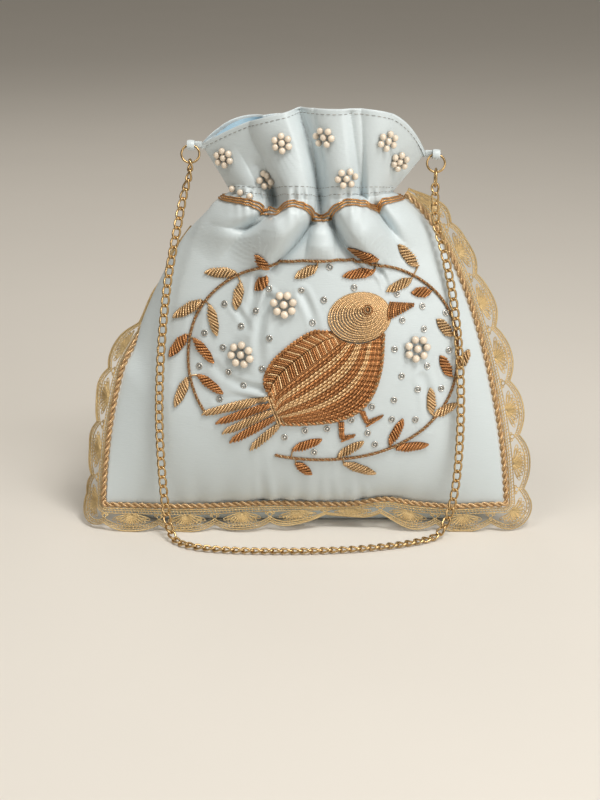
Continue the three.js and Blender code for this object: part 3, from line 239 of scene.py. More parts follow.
def catmull_rom(points, steps=24):
    """A smooth curve through points, with centripetal spacing."""
    points = np.asarray(points, float)
    ends = np.vstack([2 * points[0] - points[1], points, 2 * points[-1] - points[-2]])
    share = np.linspace(0, 1, steps, endpoint=False)[:, None]
    runs = []
    for a, b, c, d in zip(ends, ends[1:], ends[2:], ends[3:]):
        ab, bc, cd = (max(np.linalg.norm(q - p), 1e-9) ** 0.5 for p, q in ((a, b), (b, c), (c, d)))
        start = ((b - a) / ab - (c - a) / (ab + bc) + (c - b) / bc) * bc
        end = ((c - b) / bc - (d - b) / (bc + cd) + (d - c) / cd) * bc
        square, cube = share**2, share**3
        runs.append(
            (2 * cube - 3 * square + 1) * b + (cube - 2 * square + share) * start
            + (3 * square - 2 * cube) * c + (cube - square) * end
        )
    return np.vstack([*runs, points[-1:]])


def turns(count):
    """Angles all the way round, in even steps."""
    return np.arange(count) * 2 * math.pi / count


def run_of(path):
    """Distance along a path, or many, at each of its points."""
    steps = np.linalg.norm(np.diff(path, axis=-2), axis=-1)
    return np.concatenate([np.zeros((*steps.shape[:-1], 1)), np.cumsum(steps, -1)], -1)


def sampled(at, run, path):
    """Points of a path at some distances along it; run holds the distances of its own points."""
    return np.stack([np.interp(at, run, path[:, k]) for k in range(path.shape[1])], -1)


def spaced(path, step):
    """The same path with points about one step apart."""
    run = run_of(path)
    at = np.linspace(0, run[-1], max(3, int(run[-1] / step) + 1))
    return sampled(at, run, path)


def frames(path, up=OUT, closed=False):
    """Directions along, out of and across one or many paths."""
    path = np.asarray(path, float)
    along = np.roll(path, -1, -2) - np.roll(path, 1, -2)
    if not closed:
        along[..., 0, :] = path[..., 1, :] - path[..., 0, :]
        along[..., -1, :] = path[..., -1, :] - path[..., -2, :]
    along = unit(along)
    up = np.broadcast_to(up, path.shape)
    out = unit(up - along * (up * along).sum(-1, keepdims=True))
    return along, out, np.cross(along, out)


def sweep(path, radius, sides=6, up=OUT, closed=False):
    """Rings of points round one or many paths."""
    path = np.asarray(path, float)
    _, out, across = frames(path, up, closed)
    angle = turns(sides)[:, None]
    reach = np.broadcast_to(radius, path.shape[:-1])[..., None, None]
    return path[..., None, :] + reach * (
        np.cos(angle) * out[..., None, :] + np.sin(angle) * across[..., None, :]
    )


def twisted(path, offset, pitch, count=2, up=OUT):
    """Middle lines of threads that are twisted round a path."""
    _, out, across = frames(path, up)
    turn = run_of(path)[..., None] * 2 * math.pi / pitch
    return [
        path + offset * (np.cos(turn + a) * out + np.sin(turn + a) * across)
        for a in turns(count)
    ]


def balls(middles, radius, up, flat=1.0, rings=8, sides=12):
    """Beads as grids of points: flat squeezes them along up."""
    middles = np.asarray(middles, float)
    up = np.broadcast_to(up, middles.shape)
    side = unit(np.cross(up, (0.3, 0.1, 1)))
    other = np.cross(up, side)
    tilt = np.linspace(0, math.pi, rings + 1)[:, None, None]
    turn = turns(sides)[:, None]
    radius = np.broadcast_to(radius, middles.shape[:-1])[:, None, None, None]
    reach = lambda v: v[:, None, None, :]
    return reach(middles) + radius * (
        flat * np.cos(tilt) * reach(up)
        + np.sin(tilt) * (np.cos(turn) * reach(side) + np.sin(turn) * reach(other))
    )


def circles(middles, radius, up, count=16):
    """Closed rings of points round middles, square to up."""
    middles = np.asarray(middles, float)
    up = np.broadcast_to(up, middles.shape)
    side = unit(np.cross(up, (0.2, 0.1, 1)))
    other = np.cross(up, side)
    turn = turns(count)[:, None]
    radius = np.broadcast_to(radius, middles.shape[:-1])[:, None, None]
    return middles[:, None, :] + radius * (
        np.cos(turn) * side[:, None, :] + np.sin(turn) * other[:, None, :]
    )


class Weave:
    """Gathers grids of points in millimetres and makes them one mesh.

    The UV map holds millimetres along each grid and turns round it. Each grid has a tone from 0 to 1,
    which is drawn at random where none is given.
    """

    def __init__(self, seed=SEED):
        self.points, self.faces, self.uvs, self.tones = [], [], [], []
        self.count = 0
        self.random = np.random.default_rng(seed)

    def add(self, grids, round_columns=True, round_rows=False, tone=None):
        grids = np.asarray(grids, float)
        grids = grids.reshape(-1, *grids.shape[-3:])
        many, rows, columns, _ = grids.shape
        spine = grids.mean(2)
        if round_rows:
            spine = np.concatenate([spine, spine[:, :1]], 1)
        along = run_of(spine)
        i, j = np.meshgrid(
            np.arange(rows if round_rows else rows - 1),
            np.arange(columns if round_columns else columns - 1), indexing="ij",
        )
        i, j = i.ravel(), j.ravel()
        corners = [(i, j), (i, j + 1), (i + 1, j + 1), (i + 1, j)]
        face = np.stack([(r % rows) * columns + c % columns for r, c in corners], -1)
        start = self.count + np.arange(many)[:, None, None] * rows * columns
        self.faces.append((face[None] + start).reshape(-1, 4))
        u = np.stack([along[:, r] for r, _ in corners], -1)
        v = np.broadcast_to(np.stack([c / columns for _, c in corners], -1), u.shape)
        self.uvs.append(np.stack([u, v], -1).reshape(-1, 2))
        self.points.append(grids.reshape(-1, 3))
        tones = self.random.random(many) if tone is None else np.full(many, tone)
        self.tones.append(np.repeat(tones, rows * columns))
        self.count += many * rows * columns
        return self

    def tube(self, path, radius, sides=6, up=OUT, closed=False, tone=None):
        return self.add(sweep(path, radius, sides, up, closed), round_rows=closed, tone=tone)

    def build(self, name, material, body, slot, stands_for=()):
        faces = np.concatenate(self.faces)
        mesh = bpy.data.meshes.new(name)
        mesh.vertices.add(self.count)
        mesh.vertices.foreach_set("co", (np.concatenate(self.points) * MM).astype(np.float32).ravel())
        mesh.loops.add(faces.size)
        mesh.loops.foreach_set("vertex_index", faces.astype(np.int32).ravel())
        mesh.polygons.add(len(faces))
        mesh.polygons.foreach_set("loop_start", np.arange(0, faces.size, 4, dtype=np.int32))
        mesh.update(calc_edges=True)
        uv = mesh.uv_layers.new(name="UVMap")
        uv.data.foreach_set("uv", np.concatenate(self.uvs).astype(np.float32).ravel())
        tone = mesh.attributes.new("tone", "FLOAT", "POINT")
        tone.data.foreach_set("value", np.concatenate(self.tones).astype(np.float32))
        mesh.shade_smooth()
        mesh.materials.append(material)
        piece = bpy.data.objects.new(name, mesh)
        bpy.context.scene.collection.objects.link(piece)
        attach(piece, body)
        if stands_for:
            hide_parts(*stands_for)
        return piece


# The cloth

def roll_at(v):
    """How far the left seam is rolled back, from 0 to 1."""
    start, full, ease, end = SEAM_ROLL
    return smooth(start, full, v) * (1 - smooth(ease, end, v))


def seam_point(side, v):
    """The seam of one side: v is 0 at the bottom corner, 1 at the neck and 2 at the rim."""
    v = np.asarray(v, float)
    low, high = bezier(SIDE_BODY, np.clip(v, 0, 1)), bezier(SIDE_FRILL, np.clip(v - 1, 0, 1))
    half = np.where((v <= 1)[..., None], low, high)
    shift = np.where(v < 1, NECK_SHIFT * smooth(0.2, 0.85, v), mix(NECK_SHIFT, MOUTH_SHIFT, v - 1))
    tilt = -side * CORNER_TILT * np.maximum(v - 1, 0)
    roll = roll_at(v) * (side < 0)
    return np.stack([
        shift + side * half[..., 0] + ROLL_IN * roll,
        half[..., 1] + ROLL_BACK * roll,
        half[..., 2] + tilt,
    ], -1)


def soft_fullness(u, v, skew):
    """0 on a seam, 1 where the cloth stands off furthest; the rim is skewed to one side."""
    u = u - skew * smooth(1, 2, v) * (1 - u**2)
    rim = smooth(1.3, 2, v)
    return (1 - np.minimum(np.abs(u), 1) ** mix(2.2, 3.4, rim)) ** mix(0.75, 1, rim)


def front_plain(u, v):
    """The front without gathers: its edge, its middle line and its fullness between them."""
    edge = mix(seam_point(-1, v), seam_point(1, v), ((u + 1) / 2)[..., None])
    low, high = bezier(FRONT_BODY, np.clip(v, 0, 1)), bezier(FRONT_FRILL, np.clip(v - 1, 0, 1))
    spine = np.where((v <= 1)[..., None], low, high)
    share = np.sqrt(np.clip((u + 1) / ROLL_SPAN, 0, 1))
    edge[..., 0] -= ROLL_OVER * roll_at(v) * 4 * share * (1 - share)
    return edge, spine, soft_fullness(u, v, RIM_SKEW)


def back_rise(share):
    """The share up the back panel that is level with a share up the seam, above the corner."""
    return mix(FLAT_END, 1, (share - CORNER_SHARE) / (1 - CORNER_SHARE))


def back_plain(u, v):
    """The back without gathers, in the same way: it is folded under, then flat, then rises."""
    above = mix(CORNER_SHARE, 1, (v - FLAT_END) / (1 - FLAT_END))
    share = np.where(v > 1, v, np.where(v < FLAT_END, CORNER_SHARE * v / FLAT_END, above))
    edge = mix(seam_point(-1, share), seam_point(1, share), ((u + 1) / 2)[..., None])

    def part(points, low, high):
        return bezier(points, np.clip((v - low) / (high - low), 0, 1))

    rise = np.where((v <= 1)[..., None], part(BACK_BODY, FLAT_END, 1), part(BACK_FRILL, 1, 2))
    level = np.where((v < FLAT_END)[..., None], part(UNDER_FLAT, ROLL_END, FLAT_END), rise)
    spine = np.where((v < ROLL_END)[..., None], part(UNDER_ROLL, 0, ROLL_END), level)
    flat = np.minimum(1, 1.25 * (1 - np.abs(u) ** 6))
    return edge, spine, mix(flat, soft_fullness(u, v, -RIM_SKEW), smooth(FLAT_END, 0.5, v))


def fold_reach(fold, x, z):
    """How far across a fold each point lies, 1 at its edge, and how high the fold is beside it."""
    start, via, end, width, lift = fold
    share = np.linspace(0, 1, FOLD_SAMPLES + 1)
    line = bezier([start, via, end], share) + (NECK_SHIFT, NECK_HEIGHT)
    reach = np.hypot(x[..., None] - line[:, 0], z[..., None] - line[:, 1]) / mix(*width, share)
    near = reach.argmin(-1)
    reach = np.minimum(np.take_along_axis(reach, near[..., None], -1)[..., 0], 1)
    return reach, mix(*lift, smooth(0.3, 1, share))[near]


def fold_lift(folds, x, z):
    """Gathers are full round tubes and creases sharp valleys."""
    crest, crease = np.zeros_like(x), np.zeros_like(x)
    for fold in folds:
        reach, high = fold_reach(fold, x, z)
        crest = np.maximum(crest, high * (1 - reach**2) ** 0.7)
        crease = np.minimum(crease, high * (1 - reach) ** 1.8)
    return crest + crease


HEM_PUCKER_FADE = 11  # puckers of the bottom seam fade over this height
NECK_PUCKER_SHARE, NECK_PUCKER_REACH = 1.03, 0.09
UNEVEN = 0.3  # how far the plain cloth goes up and down


def wrinkles(x, z, v):
    """Small puckers: above the bottom seam, round the gathered neck and between the stitches."""
    hem = np.exp(-np.maximum(z - SEAM_HEIGHT, 0) / HEM_PUCKER_FADE) * np.sin(x / 2.1 + 1.7 * np.sin(x / 13))
    hem *= 0.45 + 0.35 * np.sin(x / 29 + 2)
    neck = np.exp(-(((v - NECK_PUCKER_SHARE) / NECK_PUCKER_REACH) ** 2))
    neck *= np.sin(x * 1.15 + 1.4 * np.sin(x / 5))
    drag = UNEVEN * np.sin(x / 6.5 + 0.6 * np.sin(z / 9)) * np.sin(z / 17 + x / 40) * smooth(0.1, 0.3, v)
    for line in DRAG_LINES:
        reach, high = fold_reach(line, x, z)
        drag = drag + high * (1 - reach**2) ** 2 * np.cos(1.5 * math.pi * reach)
    return hem + neck + drag * (1 - smooth(0.75, 0.95, v))


SEAM_WAVES = [(45, 3.2, 13), (84, -1.2, 14), (-70, -1.2, 30), (-20, 0.8, 22)]  # where, how high, how wide


def seam_wave(x):
    """How far the bottom seam rises and falls."""
    return sum(high * np.exp(-(((x - at) / wide) ** 2)) for at, high, wide in SEAM_WAVES)


def cloth_point(panel, u, v):
    """Points of the front or the back of the bag, with gathers and puckers."""
    u, v = np.broadcast_arrays(np.asarray(u, float), np.asarray(v, float))
    front = panel == "front"
    edge, spine, full = front_plain(u, v) if front else back_plain(u, v)
    x = edge[..., 0]
    y = mix(edge[..., 1], spine[..., 0], full)
    z = mix(edge[..., 2], spine[..., 1], full)
    outward = -1 if front else 1
    calm = 1 - np.abs(u) ** 8
    lift = fold_lift(FRONT_FOLDS if front else BACK_FOLDS, x, z) * calm
    small = wrinkles(x, z, v) * calm if front else 0
    y = y + outward * (lift + small + SEAM_GAP / 2)
    z = z + GATHER_RISE * lift * (1 - smooth(1, 2, v))
    z = z + seam_wave(x) * (1 - smooth(0, 0.16 if front else 0.08, v))
    return np.stack([x, y, z], -1)


def cloth_normal(panel, u, v):
    """Directions straight out of a panel."""
    step = 0.004
    across = cloth_point(panel, u + step, v) - cloth_point(panel, u - step, v)
    along = cloth_point(panel, u, v + step) - cloth_point(panel, u, v - step)
    return unit(np.cross(across, along)) * (1 if panel == "front" else -1)


class Front:
    """Heights of the front over x and z, so that stitches and the chain can lie on it."""

    STEP = 0.6
    MARGIN = 4
    FAR = -300  # rays start here, well in front of the bag

    def __init__(self, points):
        rows, columns, _ = points.shape
        i, j = np.meshgrid(np.arange(rows - 1), np.arange(columns - 1), indexing="ij")
        corner = (i * columns + j).ravel()
        faces = np.stack([corner, corner + 1, corner + columns + 1, corner + columns], -1)
        tree = BVHTree.FromPolygons(points.reshape(-1, 3).tolist(), faces.tolist())
        self.low = np.array((-BASE_HALF, SEAM_HEIGHT - self.MARGIN), float)
        size = np.array((2 * BASE_HALF, RIM_FRONT + self.MARGIN - self.low[1]))
        self.shape = (size / self.STEP).astype(int) + 1
        self.height = np.zeros(self.shape)
        ahead = Vector((0, 1, 0))
        for a in range(self.shape[0]):
            for b in range(self.shape[1]):
                x, z = self.low + np.array((a, b)) * self.STEP
                hit = tree.ray_cast(Vector((x, self.FAR, z)), ahead)[0]
                self.height[a, b] = hit.y if hit else 0
        self.slope = np.stack(np.gradient(self.height, self.STEP), -1)

    def _sample(self, field, xz):
        """A field of the grid between its points."""
        place = np.clip((np.asarray(xz, float) - self.low) / self.STEP, 0, self.shape - 1.001)
        cell = place.astype(int)
        share = place - cell
        a, b = cell[..., 0], cell[..., 1]
        extra = (None,) * (field.ndim - 2)
        s, t = share[..., 0][(..., *extra)], share[..., 1][(..., *extra)]
        return mix(mix(field[a, b], field[a + 1, b], s), mix(field[a, b + 1], field[a + 1, b + 1], s), t)

    def out(self, xz):
        """Directions straight out of the cloth."""
        slope = self._sample(self.slope, xz)
        return unit(np.stack([slope[..., 0], -np.ones(slope.shape[:-1]), slope[..., 1]], -1))

    def lay(self, xz, lift=0.0):
        """Points that lie on the cloth, lifted off it by some millimetres."""
        xz = np.asarray(xz, float)
        y = self._sample(self.height, xz)
        lift = np.broadcast_to(lift, y.shape)[..., None]
        return np.stack([xz[..., 0], y, xz[..., 1]], -1) + self.out(xz) * lift

    def couch(self, weave, xz, lift, radius, sides=6, closed=False, tone=None):
        """Adds wires that are laid along the cloth."""
        weave.tube(self.lay(xz, lift), radius, sides, self.out(xz), closed, tone)

    def sew_balls(self, weave, xz, lift, radius, flat=1.0, rings=8, sides=12):
        """Adds beads that sit on the cloth."""
        weave.add(balls(self.lay(xz, lift), radius, self.out(xz), flat, rings, sides))

    def sew_rings(self, weave, xz, lift, radius, wire, steps, sides):
        """Adds wire rings that lie on the cloth."""
        out = self.out(xz)
        weave.tube(circles(self.lay(xz, lift), radius, out, steps), wire, sides, out[:, None], closed=True)


# Materials

class Value:
    """A shader socket in an expression: each operation adds a Math node."""

    def __init__(self, shader, socket):
        self.shader, self.socket = shader, socket

    def math(self, operation, *others):
        node = self.shader.node("ShaderNodeMath", {"operation": operation}, [self, *others])
        return Value(self.shader, node.outputs[0])

    def __add__(self, other):
        return self.math("ADD", other)

    def __mul__(self, other):
        return self.math("MULTIPLY", other)

    def __sub__(self, other):
        return self.math("SUBTRACT", other)

    def __rsub__(self, other):
        return (self * -1) + other

    __radd__ = __add__

    def sine(self):
        return self.math("SINE")


class Shader:
    """A material under construction, round one Principled BSDF."""

    def __init__(self, name, **constants):
        self.material = bpy.data.materials.new(name)
        self.material.use_nodes = True
        self.tree = self.material.node_tree
        self.surface = self.tree.nodes["Principled BSDF"]
        for socket, value in constants.items():
            self.surface.inputs[socket.replace("_", " ")].default_value = value

    def node(self, kind, settings=None, inputs=()):
        """Adds a node: its settings first, then the values or links of its sockets."""
        node = self.tree.nodes.new(kind)
        for name, value in (settings or {}).items():
            setattr(node, name, value)
        for socket, value in inputs.items() if isinstance(inputs, dict) else enumerate(inputs):
            self.join(node.inputs[socket], value)
        return node

    def join(self, socket, value):
        if isinstance(value, Value):
            self.tree.links.new(value.socket, socket)
        else:
            socket.default_value = value

    def value(self, node, output=0):
        return Value(self, node.outputs[output])

    def place(self):
        return self.value(self.node("ShaderNodeTexCoord"), "Object")

    def stretched(self, scale):
        """Object coordinates, stretched."""
        node = self.node("ShaderNodeVectorMath", {"operation": "MULTIPLY"}, [self.place(), scale])
        return self.value(node)

    def noise(self, vector, scale, detail=2.0):
        inputs = {"Vector": vector, "Scale": scale, "Detail": detail}
        return self.value(self.node("ShaderNodeTexNoise", None, inputs))

    def along(self):
        """Millimetres along a thread and turns round it, from its UV map."""
        split = self.node("ShaderNodeSeparateXYZ", None, [self.value(self.node("ShaderNodeUVMap"))])
        return self.value(split, "X"), self.value(split, "Y")

    def tone(self):
        node = self.node("ShaderNodeAttribute", {"attribute_name": "tone"})
        return self.value(node, "Fac")

    def blend(self, share, low, high):
        """From one colour to another."""
        factor, first, second, result = 0, 6, 7, 2  # the sockets of a Mix node that hold colours
        inputs = {factor: share, first: (*low, 1), second: (*high, 1)}
        return self.value(self.node("ShaderNodeMix", {"data_type": "RGBA"}, inputs), result)

    def shaded(self, share, color, low, high):
        """One colour, made darker or brighter by a factor at each end."""
        return self.blend(share, shade(color, low), shade(color, high))

    def color(self, value):
        self.join(self.surface.inputs["Base Color"], value)
        return self

    def rough(self, value):
        self.join(self.surface.inputs["Roughness"], value)
        return self

    def bump(self, height, distance, strength=1.0):
        inputs = {"Height": height, "Distance": distance, "Strength": strength}
        node = self.node("ShaderNodeBump", None, inputs)
        self.join(self.surface.inputs["Normal"], self.value(node))
        return self


def shade(color, by):
    return tuple(min(1.0, c * by) for c in color)


def satin_material(name, color):
    """Smooth satin: fine crosswise threads, with a sheen where the cloth turns away."""
    s = Shader(name, Sheen_Weight=0.25, Sheen_Roughness=0.35, Specular_IOR_Level=0.45, Anisotropic=0.4)
    threads = s.noise(s.stretched((260, 260, 2600)), 1.0, 3)
    cloud = s.noise(s.place(), 26, 3)
    s.color(s.shaded(threads * 0.5 + cloud * 0.5, color, 0.93, 1.06))
    s.rough(0.34 + threads * 0.12)
    return s.bump(threads * 0.6 + cloud * 0.4, 0.0004, 0.35).material


def wire_material(name, color, pitch, rough, dark=0.3, bright=1.65):
    """Coiled metal thread: ridges run round it at a slant, and each length has its own tone. Painted shade
    darkens the grooves between the coils and a painted highlight lightens their crests.
    """
    s = Shader(name, Metallic=0.78)
    run, turn = s.along()
    ridge = (run * (2 * math.pi / pitch) + turn * (2 * math.pi)).sine() * 0.5 + 0.5
    # painted shade in the grooves and painted highlight on the crests, mixed with each length's own tone
    coil_shade_and_tone = ridge * 0.45 + s.tone() * 0.55
    s.color(s.shaded(coil_shade_and_tone, color, dark, bright))
    s.rough(rough + (1 - ridge) * 0.15)
    return s.bump(ridge, 0.0003, 0.7).material


def metal_material(name, color, rough):
    """Polished metal with faint tarnish."""
    s = Shader(name, Metallic=1.0)
    cloud = s.noise(s.place(), 220, 2)
    s.color(s.shaded(cloud, color, 0.82, 1.1))
    s.rough(rough + cloud * 0.12)
    return s.bump(cloud, 0.0001, 0.15).material


def pearl_material(name, color, radius):
    """Nacre, each pearl with its own tone; painted light makes it paler on top and painted shade makes it
    darker and browner towards the cloth.
    """
    s = Shader(name, Coat_Weight=0.8, Coat_Roughness=0.05, Specular_IOR_Level=0.6)
    cloud = s.noise(s.place(), 300, 2)
    depth = s.along()[0] * (1 / radius)
    # painted shade towards the cloth and painted light on top, with each pearl's own tone and a faint cloud
    pearl_shade_and_tone = depth * 0.62 + s.tone() * 0.2 + cloud * 0.2 - 0.15
    s.color(s.shaded(pearl_shade_and_tone, color, 1.15, 0.42))
    s.rough(0.12 + cloud * 0.12)
    return s.bump(cloud, 0.0001, 0.2).material


def stitch_material(name, dark, light):
    """Sewing thread: each stitch has its own tone."""
    s = Shader(name, Roughness=0.6)
    return s.color(s.blend(s.tone(), dark, light)).material


def floor_material(name, color):
    """A plain, dull sweep with hardly any cloud in it."""
    s = Shader(name)
    cloud = s.noise(s.place(), 8, 3)
    s.color(s.shaded(cloud, color, 0.985, 1.015))
    return s.rough(0.62 + cloud * 0.06).material


# Settings

def color_setting(name, description, default):
    return FloatVectorProperty(
        name=name, description=description, subtype="COLOR", size=3, min=0, max=1, default=default)


def length_setting(name, description, default):
    return FloatProperty(name=name, description=description, unit="LENGTH", default=default)


def power_setting(name, description, default):
    return FloatProperty(name=name, description=description, unit="POWER", default=default)


class PotliCloth(PropertyGroup):
    satin: color_setting("Satin", "Colour of the outer cloth", (0.625, 0.70, 0.73))
    lining: color_setting("Lining", "Colour of the cloth inside the mouth", (0.40, 0.58, 0.70))
    columns: IntProperty(
        name="Columns", description="Cells of a cloth panel from seam to seam", default=240, min=40, max=300)
    rows: IntProperty(
        name="Rows", description="Cells of a cloth panel from the bottom to the rim",
        default=330, min=60, max=400)
    hem: length_setting("Hem", "Depth of the hem that is turned into the mouth", 0.0025)
    stitch: length_setting("Stitch", "Length of one hem stitch", 0.0022)


class PotliMetal(PropertyGroup):
    gold: color_setting("Gold", "Colour of the cord and the light threads", (0.62, 0.415, 0.225))
    chain: color_setting("Chain", "Colour of the chain and its rings", (0.56, 0.385, 0.185))
    copper: color_setting("Copper", "Colour of the dark metal threads", (0.50, 0.24, 0.095))
    lace: color_setting("Lace", "Colour of the lace thread", (0.64, 0.465, 0.24))
    wire: length_setting("Link wire", "Radius of the chain's wire", 0.00064)
    cord: length_setting("Cord", "Radius of the twisted edge cord", 0.0016)
    cord_pitch: length_setting("Cord pitch", "Length of one full turn of the edge cord", 0.008)
    thread: length_setting("Thread", "Radius of the embroidery's metal thread", 0.00055)
    lace_thread: length_setting("Lace thread", "Radius of the lace's thread", 0.0003)


class PotliBeads(PropertyGroup):
    pearl: color_setting("Pearl", "Colour of the pearls", (0.80, 0.69, 0.56))
    silver: color_setting("Silver", "Colour of the sequins", (0.70, 0.68, 0.64))
    pearl_radius: length_setting("Pearl radius", "Radius of a pearl of the wreath's flowers", 0.0022)
    frill_share: FloatProperty(
        name="Frill flowers", description="Size of the frill's flowers against the wreath's", default=0.85)
    sequin_radius: length_setting("Sequin radius", "Radius of a sequin", 0.0015)


class PotliStage(PropertyGroup):
    floor: color_setting("Floor", "Colour of the floor and the backdrop", (0.78, 0.75, 0.70))
    aim: FloatVectorProperty(
        name="Aim", description="Point that the camera looks at", subtype="TRANSLATION", size=3,
        default=(-0.0027, -0.030, 0.0751))
    distance: length_setting("Distance", "Camera to aim", 0.95)
    elevation: FloatProperty(
        name="Elevation", description="Camera above the horizon", subtype="ANGLE", default=math.radians(19))
    lens: FloatProperty(
        name="Lens", description="Focal length in millimetres on a 36 mm frame", default=78.4)
    key: power_setting("Key light", "Power of the main soft light", 13.5)
    side: power_setting("Side light", "Power of the light on the right", 7.5)
    top: power_setting("Top light", "Power of the light above the left side", 4)
    world: color_setting("World", "Colour of the light from all round", (1.0, 0.92, 0.80))
    world_strength: FloatProperty(
        name="World strength", description="Strength of the light from all round", default=0.21)


SETTINGS = {
    "potli_cloth": PotliCloth,
    "potli_metal": PotliMetal,
    "potli_beads": PotliBeads,
    "potli_stage": PotliStage,
}
MADE = {}  # what later operators need from earlier ones: the front, and the satin's material


# Cloth pieces

FACING = {"front": OUT, "back": -OUT}
FLAT_SIZE = {"front": (0.23, 0.25), "back": (0.23, 0.30)}
NECK_ROWS = {"front": (0.72, 1.14), "back": (0.78, 1.12)}  # between which rows of cells lie closest
LIP = 0.7  # radius of the fold at the rim
LINING_CLEAR = 2.8  # the lining hangs at least this far inside the satin
LINING_FLOOR = 3.4
LINING_COLUMNS = 161
LINING_SIDE = [(0.14, 8), (0.72, 9), (0.93, 14), (1.1, 9), (1.6, 4), (2, 2.4)]  # share, inset
LINING_DEEP = [(0.14, 8), (0.43, 10), (0.75, 14), (0.92, 29), (1.12, 29), (1.6, 6), (2, 2.6)]


def cloth_rows(rows, panel):
    """Shares up a panel, closer together round the neck."""
    low, high = NECK_ROWS[panel]
    parts = [(0, low, 0.42), (low, high, 0.33), (high, 2, 0.25)]
    shares = [np.linspace(a, b, int(rows * share), endpoint=False) for a, b, share in parts]
    return np.concatenate([*shares, [2.0]])


def panel_points(panel, columns, rows, hem):
    """A panel's outer face and the hem that is turned down inside its rim."""
    u = np.linspace(-1, 1, columns + 1) * (1 if panel == "front" else -1)
    face = cloth_point(panel, u[None, :], cloth_rows(rows, panel)[:, None])
    inward = (1 if panel == "front" else -1) * (1 - np.abs(u) ** 6)
    fold = [(LIP * (1 - math.cos(a)), LIP * math.sin(a)) for a in (0.8, 1.6, 2.4, 3.1)]
    turned = [*fold, (2 * LIP, -hem / 2), (2 * LIP, -hem)]
    rows_in = [face[-1] + np.stack([0 * u, inward * back, 0 * u + up], -1) for back, up in turned]
    return face, np.concatenate([face, rows_in])


def lining_points():
    """The lining as rows all the way round inside both panels, from the middle of its floor to the rim."""
    shares = np.concatenate([
        [0.14, 0.3, 0.43, 0.6, 0.72, 0.8], np.arange(0.86, 1.3, 0.03), np.arange(1.3, 1.95, 0.1), [1.99],
    ])
    inset = np.stack([np.interp(shares, *zip(*table)) for table in (LINING_SIDE, LINING_DEEP)], -1)
    columns = LINING_COLUMNS
    front_u = np.linspace(-1, 1, columns)
    back_u = front_u[::-1][1:-1]
    back_v = np.where(shares > 1, shares, back_rise(shares))
    front_rows = cloth_point("front", front_u[None], shares[:, None])
    rings = np.concatenate([front_rows, cloth_point("back", back_u[None], back_v[:, None])], 1)
    low, high = rings.min(1, keepdims=True), rings.max(1, keepdims=True)
    keep = np.clip(1 - 2 * inset[:, None] / (high - low)[..., :2], 0.1, 1)
    rows = rings.copy()
    rows[..., :2] = mix((low + high)[..., :2] / 2, rings[..., :2], keep)
    clear = LINING_CLEAR * (1 - np.abs(np.concatenate([front_u, back_u])) ** 6)
    for ring, row in zip(rings, rows):
        front, back = ring[:columns], ring[:columns - 1:-1]  # both from left to right
        front_y = np.interp(row[:columns, 0], front[:, 0], front[:, 1])
        back_y = np.interp(row[columns:, 0], back[:, 0], back[:, 1])
        row[:columns, 1] = np.maximum(row[:columns, 1], front_y + clear[:columns])
        row[columns:, 1] = np.minimum(row[columns:, 1], back_y - clear[columns:])
    foot = rows[:1] * (0.72, 0.4, 0)
    foot[..., 2] = LINING_FLOOR
    middle = np.zeros_like(foot) + (0, 0, LINING_FLOOR)
    return np.concatenate([middle, foot, rows])


class POTLI_OT_cloth(Operator):
    """Lay the satin panels and hang the lining"""

    bl_idname = "potli.cloth"
    bl_label = "Satin and Lining"

    def execute(self, context):
        cloth = context.scene.potli_cloth
        satin = satin_material("satin", cloth.satin)
        MADE["satin"] = satin
        for panel, flat in FLAT_SIZE.items():
            face, points = panel_points(panel, cloth.columns, cloth.rows, cloth.hem / MM)
            piece = Weave().add(points, round_columns=False).build(
                f"satin_{panel}", satin, BAG, "satin", [f"{panel}_panel"])
            if panel == "front":
                MADE["front"] = Front(face)
        inside = satin_material("lining_cloth", cloth.lining)
        lining = Weave().add(lining_points()).build("satin_lining", inside, BAG, "lining_cloth", ["lining"])
        return {"FINISHED"}


# Edge trims

TRIM_END = {-1: 0.7, 1: 0.935}  # how far up each side's seam the cord and the lace go
TRIM_GAP = 0.35
SIDE_STEPS, BOTTOM_STEPS, BEND_STEPS = 120, 200, 14
LACE_SEAT = 0.2  # from the cord's surface to the foot of the lace
CORD_BOTTOM = unit(np.array((0, -0.87, -0.5)))
LACE_BOTTOM = unit(np.array((0, -0.62, -0.785)))
CORD_LEAN_ROLLED, LACE_LEAN_ROLLED = 0.75, 4  # how far they lean back where the seam is rolled
LACE_LEAN = {-1: (0.9, 1.25), 1: (0.2, 0.9)}  # from the foot of each side to its shoulder
LACE_WIDTH, SCALLOP_PITCH, SCALLOP_DIP = 13, 31, 4.5
LACE_END, LACE_END_SHARE = 26, 0.3  # the lace narrows to a share over its last stretch
LACE_LOW = 0.5  # no thread of the lace lies lower than this
TUCK_X, TUCK_REACH, TUCK_SHARE = 20, 42, 0.6  # where the bottom lace is partly tucked under


